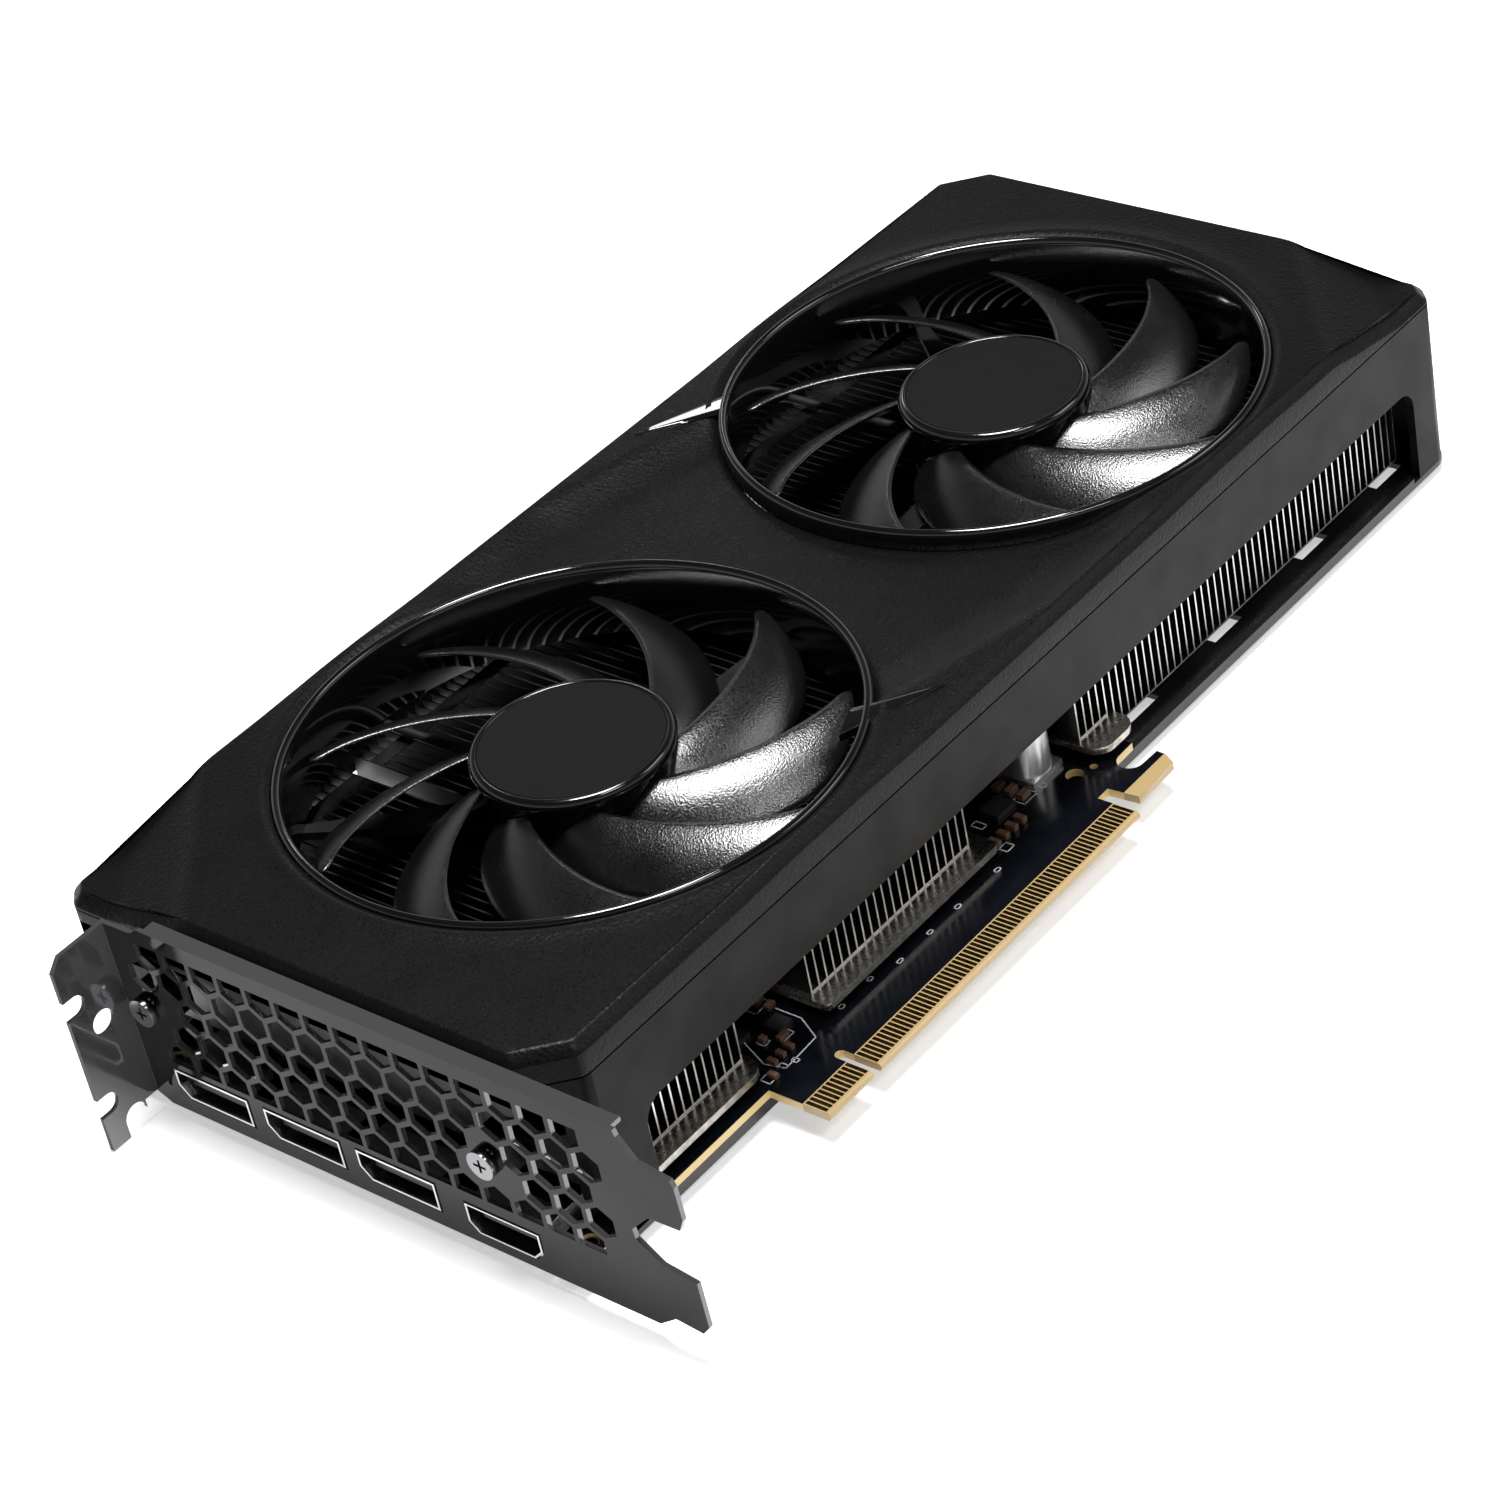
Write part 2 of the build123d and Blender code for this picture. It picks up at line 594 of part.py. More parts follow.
with BuildPart() as gpu_package:
    span_box((CHIP_X - 16, CHIP_X + 16), (CHIP_Y - 16, CHIP_Y + 16), (0.02, 1.1))
save(gpu_package.part, "gpu_package")

with BuildPart() as gpu_die:
    span_box((CHIP_X - 8, CHIP_X + 8), (CHIP_Y - 5.5, CHIP_Y + 5.5), (1.12, PLATE_LOW - 0.02))
save(gpu_die.part, "gpu_die")


def chip_set(name, chips, chamfered=0.0):
    """Separate box-shaped parts on the board: middle x, middle y, length, width, height."""
    with BuildPart() as chips_part:
        for x, y, length, width, height in chips:
            span_box((x - length / 2, x + length / 2), (y - width / 2, y + width / 2), (0.02, height))
        if chamfered:
            chamfer(chips_part.edges().group_by(Axis.Z)[-1], length=chamfered)
    save(chips_part.part, name)


CHOKE_X = -3.7
CHOKE_ROWS = (31.5, 48.0, 55.2, 69.2, 76.8, 92.0, 99.2)
chip_set("memory_chips", [(x, y, 14.0, 11.0, 1.2) for x, y in MEMORY])
chip_set("power_stages", [(STAGE_X, y, 5.0, 6.0, 0.9) for y in STAGE_ROWS])
chip_set("chokes", [(CHOKE_X, y, 7.0, 6.6, 5.0) for y in CHOKE_ROWS], chamfered=0.5)

SMALL_CAPS = [(-9.4, 13.4, 1.0, 1.8, 1.0), (-1.2, 18.0, 2.4, 1.0, 1.0), (-3.4, 20.3, 1.2, 1.2, 1.1)]
SMALL_CAPS += [(-6.8 + 2.1 * step, 15.6, 1.0, 1.8, 0.9) for step in range(3)]
SMALL_CAPS += [(3.6, 24.6 + 2.4 * step, 2.0, 1.2, 1.0) for step in range(3)]
SMALL_CAPS += [(54.0 + 2.4 * step, 16.6, 1.2, 2.2, 1.2) for step in range(4)]
SMALL_CAPS += [(66.9, 20.0 + 2.6 * step, 2.4, 1.4, 1.2) for step in range(3)]
SMALL_CAPS += [(3.2, 36.0 + 4.6 * step, 1.6, 2.8, 1.6) for step in range(13)]
chip_set("chip_capacitors", SMALL_CAPS)
chip_set("controller_chips", [
    (0.8, 20.6, 3.4, 3.4, 0.85), (62.0, 22.0, 5.0, 4.0, 0.9), (-4.6, 24.0, 2.6, 2.0, 0.9),
    (67.0, 33.0, 6.0, 5.0, 1.0), (82.0, 102.0, 4.0, 5.0, 0.9)])

CANS = [(73.3, 23.5), (57.0, 51.0), (57.0, 73.0), (57.0, 93.0), (68.0, 51.0), (68.0, 73.0)]
with BuildPart() as can_capacitors:
    for x, y in CANS:
        span_box((x - 4.1, x + 4.1), (y - 4.1, y + 4.1), (0.02, 1.2))
        upright(4.0, x, y, 1.2, 9.2)
    chamfer(can_capacitors.edges().group_by(Axis.Z)[-1], length=0.4)
save(can_capacitors.part, "can_capacitors")

# Power socket on the board's far edge: two rows of four square wells, opening to +Y.
SOCKET_X = 69.6
SOCKET_NEAR_Y = 99.4
SOCKET_FAR_Y = 112.6
WELL_PITCH = 4.2
WELL = 3.5
WELL_ROWS = (2.9, 7.1)
with BuildPart() as power_socket:
    span_box((SOCKET_X - 9.2, SOCKET_X + 9.2), (SOCKET_NEAR_Y, SOCKET_FAR_Y), (0.05, 10.0))
    span_box((SOCKET_X - 2.2, SOCKET_X + 2.2), (SOCKET_FAR_Y - 6, SOCKET_FAR_Y - 3.6), (9.0, 11.4))
    for row in WELL_ROWS:
        with Locations((SOCKET_X, SOCKET_FAR_Y - 5.4, above(row))):
            with GridLocations(WELL_PITCH, 1, 4, 1):
                Box(WELL, 11.0, WELL, mode=Mode.SUBTRACT)
save(power_socket.part, "power_socket")

with BuildPart() as power_pins:
    for row in WELL_ROWS:
        with Locations((SOCKET_X, SOCKET_FAR_Y - 6.9, above(row))):
            with GridLocations(WELL_PITCH, 1, 4, 1):
                Box(1.1, 7.9, 1.1)
save(power_pins.part, "power_pins")


# ---------------------------------------------------------------- sockets

def socket_shell(name, y, width, low, top, cuts, depth, length):
    """A metal shell behind the bracket with its mouth towards -X, solid at its rear end.

    The cuts are the sizes of the two lower corner cuts, at the near and the far side.
    """
    with BuildPart() as shell:
        with BuildSketch(Plane.YZ.offset(FACE_X - 0.2)) as outline:
            with BuildLine():
                Polyline(
                    (y + cuts[0], above(low)), (y + width - cuts[1], above(low)),
                    (y + width, above(low) + cuts[1]), (y + width, above(top)), (y, above(top)),
                    (y, above(low) + cuts[0]), close=True)
            make_face()
        extrude(amount=length)
        with BuildSketch(Plane.YZ.offset(FACE_X - 0.2)):
            add(outline.sketch_local)
            offset(amount=-SHELL, kind=Kind.INTERSECTION, mode=Mode.REPLACE)
        extrude(amount=depth, mode=Mode.SUBTRACT)
    save(shell.part, name)


TONGUES = []
for number, near_y in enumerate(DP_NEAR_Y, start=1):
    socket_shell(
        f"displayport_socket_{number}", near_y + SOCKET_GAP, DP_WIDTH - 2 * SOCKET_GAP,
        0.05, DP_TOP - SOCKET_GAP, (0.01, 2.2), 12.0, 17.2)
    TONGUES.append((near_y + DP_WIDTH / 2, 12.4, 2.75, 1.5))
socket_shell(
    "hdmi_socket", HDMI_NEAR_Y + SOCKET_GAP, HDMI_WIDTH - 2 * SOCKET_GAP,
    HDMI_LOW + SOCKET_GAP, HDMI_TOP - SOCKET_GAP, (1.9, 1.9), 10.5, HDMI_LENGTH)
TONGUES.append((HDMI_NEAR_Y + HDMI_WIDTH / 2, 10.8, 2.1, 1.3))

with BuildPart() as socket_tongues:
    for middle_y, width, middle_z, thick in TONGUES:
        span_box(
            (FACE_X + 1.2, FACE_X + 10.2), (middle_y - width / 2, middle_y + width / 2),
            (middle_z - thick / 2, middle_z + thick / 2))
save(socket_tongues.part, "socket_tongues")


# ---------------------------------------------------------------- bracket

def vent_centres():
    """Centres of the honeycomb holes that keep clear of the face screws."""
    centres = []
    row_step = HEX_PITCH * 3 ** 0.5 / 2
    for row in range(5):
        first_y = 98.75 if row % 2 else 95.6
        for column in range(16 if row % 2 else 15):
            y = first_y - column * HEX_PITCH
            z = 29.95 - row * row_step
            if all((y - a) ** 2 + (z - b) ** 2 > 36 for a, b in BRACKET_SCREWS):
                centres.append((y, above(z)))
    return centres


FACE_OUTLINE = [
    (FLANGE_Y + SHEET, -1.6), (FLANGE_Y + SHEET, 33.3), (98.5, 33.5), (96.5, 34.8), (-3.2, 34.8), (-3.6, 33.7),
    (-6.35, 30.1), (-12.6, 29.1), (-13.2, 27.9), (-13.5, 21.8), (-12.4, 19.4), (-6.2, 19.2),
    (-2.2, 15.2), (-2.5, 13.4), (-6.85, 10.1), (-13.2, 9.2), (-13.5, 0.5), (-12.0, -1.3),
    (-6.8, -0.75), (-3.15, -3.4), (FLANGE_Y - 3, -3.4)]

with BuildPart() as bracket:
    with BuildSketch(Plane.YZ.offset(FACE_X)):
        with BuildLine():
            Polyline(*[(y, above(z)) for y, z in FACE_OUTLINE], close=True)
        make_face()
        with BuildSketch(mode=Mode.SUBTRACT):
            with Locations(*vent_centres()):
                RegularPolygon(HEX_ACROSS / 2, 6, major_radius=False, rotation=30)
            with Locations((46, above((HEX_TOP + HEX_FOOT) / 2))):
                Rectangle(160, HEX_TOP - HEX_FOOT, mode=Mode.INTERSECT)
        for near_y in DP_NEAR_Y:
            with BuildLine():
                Polyline(
                    (near_y, above(-0.45)), (near_y + DP_WIDTH - 2.4, above(-0.45)),
                    (near_y + DP_WIDTH, above(1.95)), (near_y + DP_WIDTH, above(DP_TOP)),
                    (near_y, above(DP_TOP)), close=True)
            make_face(mode=Mode.SUBTRACT)
        with BuildLine():
            Polyline(
                (HDMI_NEAR_Y, above(HDMI_TOP)), (HDMI_NEAR_Y, above(HDMI_LOW + 2)),
                (HDMI_NEAR_Y + 2, above(HDMI_LOW)), (HDMI_NEAR_Y + HDMI_WIDTH - 2, above(HDMI_LOW)),
                (HDMI_NEAR_Y + HDMI_WIDTH, above(HDMI_LOW + 2)), (HDMI_NEAR_Y + HDMI_WIDTH, above(HDMI_TOP)),
                close=True)
        make_face(mode=Mode.SUBTRACT)
        with Locations(*[(y, above(z)) for y, z in BRACKET_SCREWS]):
            Circle(1.4, mode=Mode.SUBTRACT)
    extrude(amount=SHEET)
    # Stiffening lip along the fan side.
    span_box((FACE_X, FACE_X + 3.0), (-2.3, 95.5), (34.8 - SHEET, 34.8))
    # Screw flange with two open notches one slot apart, a round hole and a half-round cut.
    with BuildSketch(Plane.XZ.offset(-FLANGE_Y - SHEET)):
        with BuildLine():
            Polyline(*[(FACE_X + x, above(z)) for x, z in (
                (SHEET, -1.6), (SHEET, 33.3), (-9.4, 33.3), (-11.6, 31.1), (-11.6, -5.9), (-7.7, -5.9),
                (-7.7, -3.2), (-2.9, -3.2), (-2.9, -1.6))], close=True)
        make_face()
        with Locations((FACE_X - 5.3, above(-3.2))):
            Circle(2.4, mode=Mode.SUBTRACT)
        for notch_z in (23.1, 23.1 - SLOT_PITCH):
            with Locations((FACE_X - 9.5, above(notch_z))):
                Circle(NOTCH_RADIUS, mode=Mode.SUBTRACT)
            with Locations((FACE_X - 11.5, above(notch_z))):
                Rectangle(4.0, 2 * NOTCH_RADIUS, mode=Mode.SUBTRACT)
        with Locations((FACE_X - 5.5, above(17.0))):
            Circle(FLANGE_HOLE_RADIUS, mode=Mode.SUBTRACT)
    extrude(amount=SHEET)
save(bracket.part, "bracket")

with BuildPart() as bracket_screws:
    for y, z in BRACKET_SCREWS:
        with Locations((FACE_X - 0.72, y, above(z))):
            Cylinder(2.6, 1.4, rotation=(0, 90, 0))
        with Locations((FACE_X + 2.8, y, above(z))):
            Cylinder(1.3, 6.0, rotation=(0, 90, 0))
        # Cross recess in the head.
        for wide, tall in ((2.6, 0.5), (0.5, 2.6)):
            with Locations((FACE_X - 1.25, y, above(z))):
                Box(0.8, wide, tall, mode=Mode.SUBTRACT)
save(bracket_screws.part, "bracket_screws")


# -------------------------------------------------------------- backplate

VENT_WIDTH = 8.4
VENT_COLUMNS = (100.0, 126.0, 154.0, 179.0)
VENT_ROWS = ((18.5, 44.0), (49.0, 80.0), (85.0, 111.0))
with BuildPart() as backplate:
    with BuildSketch(Plane.XY.offset(above(BACK_LOW))):
        with Locations(((FRONT_X + TAIL_X) / 2, (NEAR_Y + FAR_Y) / 2)):
            RectangleRounded(TAIL_X - FRONT_X, FAR_Y - NEAR_Y, 5.0)
        # Air slots beyond the end of the board.
        for column in VENT_COLUMNS:
            for low_y, high_y in VENT_ROWS:
                with Locations((column, (low_y + high_y) / 2)):
                    Rectangle(VENT_WIDTH, high_y - low_y, mode=Mode.SUBTRACT)
        # Opening round the cross behind the chip.
        with Locations((CHIP_X, CHIP_Y)):
            RectangleRounded(56, 62, 4, mode=Mode.SUBTRACT)
    extrude(amount=BACK_TOP - BACK_LOW)
    for x, y in BACK_SCREWS:
        upright_cone(2.5, 1.4, x, y, BACK_LOW, BACK_TOP, mode=Mode.SUBTRACT)
    # Raised rims under both windows.
    for rim_y in (NEAR_Y, FAR_Y - 1.2):
        span_box((WINDOW_START, WINDOW_END - 2), (rim_y, rim_y + 1.2), (BACK_TOP - 0.1, -2.4))
save(backplate.part, "backplate")

with BuildPart() as standoffs:
    for x, y in BACK_SCREWS:
        upright(2.6, x, y, BACK_TOP + 0.02, -BOARD_THICK - 0.02)
        upright(1.3, x, y, BACK_TOP - 1, 0, mode=Mode.SUBTRACT)
save(standoffs.part, "standoffs")

with BuildPart() as backplate_screws:
    for x, y in BACK_SCREWS:
        upright_cone(2.38, 1.28, x, y, BACK_LOW + 0.02, BACK_TOP)
        upright(1.2, x, y, BACK_LOW + 0.5, -0.4)
        # Cross recess in the flush head.
        span_box((x - 1.2, x + 1.2), (y - 0.22, y + 0.22), (BACK_LOW, BACK_LOW + 0.6), mode=Mode.SUBTRACT)
        span_box((x - 0.22, x + 0.22), (y - 1.2, y + 1.2), (BACK_LOW, BACK_LOW + 0.6), mode=Mode.SUBTRACT)
save(backplate_screws.part, "backplate_screws")
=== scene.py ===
import math

import bpy
from mathutils import Euler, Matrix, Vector
from mathutils.geometry import delaunay_2d_cdt


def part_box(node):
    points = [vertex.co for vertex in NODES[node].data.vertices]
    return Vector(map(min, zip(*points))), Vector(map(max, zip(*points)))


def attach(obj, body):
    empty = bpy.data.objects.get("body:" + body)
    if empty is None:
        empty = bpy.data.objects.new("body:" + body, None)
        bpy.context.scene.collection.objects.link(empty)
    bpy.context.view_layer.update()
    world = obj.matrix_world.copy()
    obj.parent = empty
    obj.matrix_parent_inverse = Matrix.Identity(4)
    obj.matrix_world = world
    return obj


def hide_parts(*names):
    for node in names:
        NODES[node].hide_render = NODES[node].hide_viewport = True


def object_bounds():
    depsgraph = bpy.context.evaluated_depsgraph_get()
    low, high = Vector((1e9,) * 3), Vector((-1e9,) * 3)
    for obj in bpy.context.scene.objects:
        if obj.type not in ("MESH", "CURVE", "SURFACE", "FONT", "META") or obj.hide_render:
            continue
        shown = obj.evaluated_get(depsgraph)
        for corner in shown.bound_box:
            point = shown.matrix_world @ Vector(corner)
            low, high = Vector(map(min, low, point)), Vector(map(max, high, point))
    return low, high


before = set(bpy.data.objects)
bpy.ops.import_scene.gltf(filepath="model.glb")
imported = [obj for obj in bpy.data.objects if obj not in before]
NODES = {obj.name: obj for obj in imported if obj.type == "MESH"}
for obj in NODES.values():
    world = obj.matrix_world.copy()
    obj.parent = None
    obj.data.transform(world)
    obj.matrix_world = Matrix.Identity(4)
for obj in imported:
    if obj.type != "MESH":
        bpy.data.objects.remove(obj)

CAD_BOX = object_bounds()
MM = 0.001

# ------------------------------------------------------------ sizes (mm, in the row frame)

BOARD_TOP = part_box("circuit_board")[1].z / MM
COVER_LOW = [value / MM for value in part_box("top_cover")[0]]
COVER_HIGH = [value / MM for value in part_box("top_cover")[1]]
COVER_INSET = 0.005
LEFT, NEAR = COVER_LOW[0] + COVER_INSET, COVER_LOW[1] + COVER_INSET
RIGHT, FAR = COVER_HIGH[0] - COVER_INSET, COVER_HIGH[1] - COVER_INSET
TOP = COVER_HIGH[2]
MIDDLE = Vector(((LEFT + RIGHT) / 2, (NEAR + FAR) / 2))
SEAM = TOP - 6.0
SKIN = 1.8
CORNER_CUT = 8.0
FACET_CORNER_CUT = 3.4
CORNER_ROUND = 3.0


def node_middle(node):
    """The middle of a CAD node's box, in millimetres."""
    low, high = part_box(node)
    return (low + high) / (2 * MM)


FANS = {fan: node_middle(f"{fan}_fan_ring") for fan in ("front", "rear")}
RING_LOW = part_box("front_fan_ring")[0].z / MM
RING_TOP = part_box("front_fan_ring")[1].z / MM
RING_OUTER = (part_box("front_fan_ring")[1].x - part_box("front_fan_ring")[0].x) / (2 * MM)
RING_INNER = RING_OUTER - 1.8
COVER_HOLE = RING_OUTER + 0.1
HUB_RADIUS = 17.3
HUB_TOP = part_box("front_hub_cap")[1].z / MM + 0.05
HUB_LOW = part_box("front_fan_rotor")[0].z / MM
CAP_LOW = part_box("front_hub_cap")[0].z / MM
CAP_BED = 1.75
BLADE_COUNT = 9
FIRST_TIP = 42.0

# The valley between the fans, and the creases that end it at the two long edges.
VALLEY_TURN = math.radians(21.8)
VALLEY_DROP = 3.0
VALLEY_HALF_FLOOR = 9.0
VALLEY_HALF_MOUTH = 26.0
CREASE_START = Vector((38.4, 25.0))
CREASE_END = Vector((93.0, 11.5))
CREASE_RISE = 11.0
EDGE_STRIP = 2.6
VALLEY_START = 34.0
VALLEY_END_CURVE = 1.7
VALLEY_FADE = 1.6

# Round each fan opening: a rolled mouth, a low lip, and the field that lies a little lower.
MOUTH_DROP = 0.5
MOUTH_WIDTH = 1.0
LIP_RADIUS = 51.5
LIP_RISE = 0.15
LIP_HALF_WIDTH = 1.6
FIELD_DROP = 0.25
FIELD_RADIUS = 56.0

# Sloping facets at the far front corner and the near tail corner.
FACET_CREASE = Vector((-34.5, 104.0))
FACET_TURN = math.radians(131.0)
FACET_SLOPE = 0.24
FACET_FALL = 3.6
FACET_ROUND = 4.0


# ------------------------------------------------------------ mesh helpers

def smooth(t):
    """A share that eases in and out between 0 and 1."""
    t = min(max(t, 0.0), 1.0)
    return t * t * (3 - 2 * t)


def new_piece(name, points, faces, body, slot, material, smooth_faces=True):
    """A mesh piece from points in millimetres, riding on a body."""
    mesh = bpy.data.meshes.new(name)
    mesh.from_pydata([Vector(point) * MM for point in points], [], faces)
    mesh.materials.append(material)
    mesh.polygons.foreach_set("use_smooth", [smooth_faces] * len(mesh.polygons))
    mesh.validate()
    mesh.update()
    piece = bpy.data.objects.new(name, mesh)
    bpy.context.scene.collection.objects.link(piece)
    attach(piece, body)
    return piece


def add_edge_split(piece, angle):
    """Keeps edges sharper than the angle crisp in shading."""
    split = piece.modifiers.new("crisp_edges", "EDGE_SPLIT")
    split.split_angle = math.radians(angle)


def lathe(profile, centre, steps, closed=False):
    """Points and faces of a profile of (radius, height) turned round an upright axis."""
    points, faces = [], []
    for step in range(steps):
        turn = 2 * math.pi * step / steps
        for radius, height in profile:
            points.append((
                centre[0] + radius * math.cos(turn), centre[1] + radius * math.sin(turn), height))
    rows = len(profile)
    pairs = [(row, (row + 1) % rows) for row in range(rows if closed else rows - 1)]
    for step in range(steps):
        here, there = step * rows, (step + 1) % steps * rows
        for low, high in pairs:
            faces.append((here + low, there + low, there + high, here + high))
    return points, faces


def join_meshes(*meshes):
    """One list of points and faces from several."""
    points, faces = [], []
    for more_points, more_faces in meshes:
        start = len(points)
        points += list(more_points)
        faces += [tuple(index + start for index in face) for face in more_faces]
    return points, faces


def box_mesh(low, high):
    """Points and faces of an upright box between two corners."""
    points = [(x, y, z) for z in (low[2], high[2]) for y in (low[1], high[1]) for x in (low[0], high[0])]
    faces = [(0, 2, 3, 1), (4, 5, 7, 6), (0, 1, 5, 4), (2, 6, 7, 3), (0, 4, 6, 2), (1, 3, 7, 5)]
    return points, faces


# ------------------------------------------------------------ materials

def node_maker(material):
    """A material's node tree, and a function that adds nodes with settings to it."""
    tree = material.node_tree

    def make(kind, **settings):
        node = tree.nodes.new(kind)
        for name, value in settings.items():
            setattr(node, name, value)
        return node
    return tree, make


def surface(name, color, roughness, metallic=0.0, specular=0.5, coat=0.0, coat_roughness=0.1,
            mottle=0.12, mottle_scale=60.0, uneven=0.06, grain=0.0, grain_scale=1200.0,
            pebble=0.0, pebble_scale=900.0, sparkle=0.0, sparkle_scale=4000.0,
            edge_color_and_painted_light=None, edge_axis="Z", edge_range=(0.45, 0.65), painted_highlight_metallic=None):
    """A procedural material: uneven colour and gloss, fine grain, pebbled texture and sparkle, and
    optionally a second colour by facing, which is a real edge colour on the board and painted light on the
    bracket and the fins.
    """
    material = bpy.data.materials.new(name)
    material.use_nodes = True
    tree, make = node_maker(material)
    shader = tree.nodes["Principled BSDF"]
    shader.inputs["Metallic"].default_value = metallic
    shader.inputs["Specular IOR Level"].default_value = specular
    shader.inputs["Coat Weight"].default_value = coat
    shader.inputs["Coat Roughness"].default_value = coat_roughness
    place = make("ShaderNodeTexCoord").outputs["Object"]

    def noise(scale, detail=2.0):
        texture = make("ShaderNodeTexNoise")
        texture.inputs["Scale"].default_value = scale
        texture.inputs["Detail"].default_value = detail
        tree.links.new(place, texture.inputs["Vector"])
        return texture.outputs["Fac"]

    def spread(source, low, high, source_low=0.3, source_high=0.7):
        ranger = make("ShaderNodeMapRange")
        ranger.inputs["From Min"].default_value = source_low
        ranger.inputs["From Max"].default_value = source_high
        ranger.inputs["To Min"].default_value = low
        ranger.inputs["To Max"].default_value = high
        tree.links.new(source, ranger.inputs["Value"])
        return ranger.outputs["Result"]

    tone = spread(noise(mottle_scale), 1 - mottle, 1 + mottle)
    tint = make("ShaderNodeMix", data_type="RGBA", blend_type="MULTIPLY")
    tint.inputs["Factor"].default_value = 1.0
    tint.inputs["A"].default_value = (*color, 1)
    tree.links.new(tone, tint.inputs["B"])
    final_color = tint.outputs["Result"]
    tree.links.new(final_color, shader.inputs["Base Color"])
    rough = spread(noise(mottle_scale * 2.3), roughness - uneven, roughness + uneven)
    if sparkle:
        flake = spread(noise(sparkle_scale, 0.0), 0.0, -sparkle, 0.62, 0.72)
        total = make("ShaderNodeMath", operation="ADD", use_clamp=True)
        tree.links.new(rough, total.inputs[0])
        tree.links.new(flake, total.inputs[1])
        rough = total.outputs["Value"]
    tree.links.new(rough, shader.inputs["Roughness"])
    normal = None
    for height, depth in ((noise(grain_scale, 3.0), grain), (None, pebble)):
        if not depth:
            continue
        if height is None:
            cells = make("ShaderNodeTexVoronoi", feature="SMOOTH_F1")
            cells.inputs["Scale"].default_value = pebble_scale
            tree.links.new(place, cells.inputs["Vector"])
            height = cells.outputs["Distance"]
        bump = make("ShaderNodeBump")
        bump.inputs["Distance"].default_value = depth * MM
        tree.links.new(height, bump.inputs["Height"])
        if normal is not None:
            tree.links.new(normal, bump.inputs["Normal"])
        normal = bump.outputs["Normal"]
    if normal is not None:
        tree.links.new(normal, shader.inputs["Normal"])
    # Second colour by facing: real on the board, a painted highlight on the bracket, a painted shade on the
    # fins. The bracket's painted highlight is also made less metallic.
    if edge_color_and_painted_light:
        factor = facing_edges(material, final_color, edge_color_and_painted_light, edge_axis, edge_range)
        if painted_highlight_metallic is not None:
            tree.links.new(spread(factor, painted_highlight_metallic, metallic, 0.0, 1.0), shader.inputs["Metallic"])
    return material


def facing_edges(material, face_color, edge_color_and_painted_light, along, span):
    """Gives surfaces that don't face along an axis another colour: the board's real edge colour, a painted
    highlight on the bracket, a painted shade on the fins. Returns the face share.
    """
    tree, make = node_maker(material)
    shader = tree.nodes["Principled BSDF"]
    parts = make("ShaderNodeSeparateXYZ")
    tree.links.new(make("ShaderNodeNewGeometry").outputs["Normal"], parts.inputs[0])
    size = make("ShaderNodeMath", operation="ABSOLUTE")
    tree.links.new(parts.outputs[along], size.inputs[0])
    mix = make("ShaderNodeMix", data_type="RGBA")
    ranger = make("ShaderNodeMapRange")
    ranger.inputs["From Min"].default_value, ranger.inputs["From Max"].default_value = span
    tree.links.new(size.outputs["Value"], ranger.inputs["Value"])
    tree.links.new(ranger.outputs["Result"], mix.inputs["Factor"])
    mix.inputs["A"].default_value = (*edge_color_and_painted_light, 1)
    tree.links.new(face_color, mix.inputs["B"])
    tree.links.new(mix.outputs["Result"], shader.inputs["Base Color"])
    return ranger.outputs["Result"]


def color_below(material, along, limit, color):
    """Gives the part of an object below a place on one axis a colour of its own."""
    tree, make = node_maker(material)
    shader = tree.nodes["Principled BSDF"]
    above_color = shader.inputs["Base Color"].links[0].from_socket
    parts = make("ShaderNodeSeparateXYZ")
    tree.links.new(make("ShaderNodeTexCoord").outputs["Object"], parts.inputs[0])
    step = make("ShaderNodeMath", operation="GREATER_THAN")
    step.inputs[1].default_value = limit
    tree.links.new(parts.outputs[along], step.inputs[0])
    mix = make("ShaderNodeMix", data_type="RGBA")
    tree.links.new(step.outputs["Value"], mix.inputs["Factor"])
    mix.inputs["A"].default_value = (*color, 1)
    tree.links.new(above_color, mix.inputs["B"])
    tree.links.new(mix.outputs["Result"], shader.inputs["Base Color"])


COVER_PLASTIC = surface(
    "cover_plastic", (0.0022, 0.0022, 0.0026), 0.44, specular=0.13, uneven=0.03, grain=0.05,
    grain_scale=1900, pebble=0.07, pebble_scale=1500, sparkle=0.2, sparkle_scale=3600)
FRAME_PLASTIC = surface(
    "frame_plastic", (0.002, 0.002, 0.0024), 0.42, specular=0.11, grain=0.02, grain_scale=2600,
    sparkle=0.1, sparkle_scale=5000)
GLOSS_BLACK = surface(
    "gloss_black", (0.004, 0.004, 0.0045), 0.09, specular=0.55, coat=0.3, coat_roughness=0.04,
    uneven=0.03, grain=0.004, grain_scale=300)
BLADE_PLASTIC = surface(
    "blade_plastic", (0.003, 0.003, 0.0033), 0.25, specular=1.0, uneven=0.03, grain=0.07,
    grain_scale=2800, sparkle=0.2, sparkle_scale=3200)
HUB_GLOSS = surface("hub_gloss", (0.004, 0.004, 0.0045), 0.12, specular=0.55, coat=0.3, uneven=0.03,
                    grain=0.004, grain_scale=900)
CAP_SATIN = surface("cap_satin", (0.006, 0.006, 0.006), 0.60, specular=0.07, mottle=0.05, uneven=0.03,
                    grain=0.004, grain_scale=3000)
BASE_PLASTIC = surface("base_plastic", (0.006, 0.006, 0.0065), 0.38, grain=0.015, grain_scale=2500)
STEEL = surface("steel", (0.45, 0.45, 0.46), 0.28, metallic=1.0, mottle=0.08, grain=0.004, grain_scale=2500)
BLACK_STEEL = surface("black_steel", (0.03, 0.03, 0.032), 0.25, metallic=1.0, grain=0.004, grain_scale=2500)
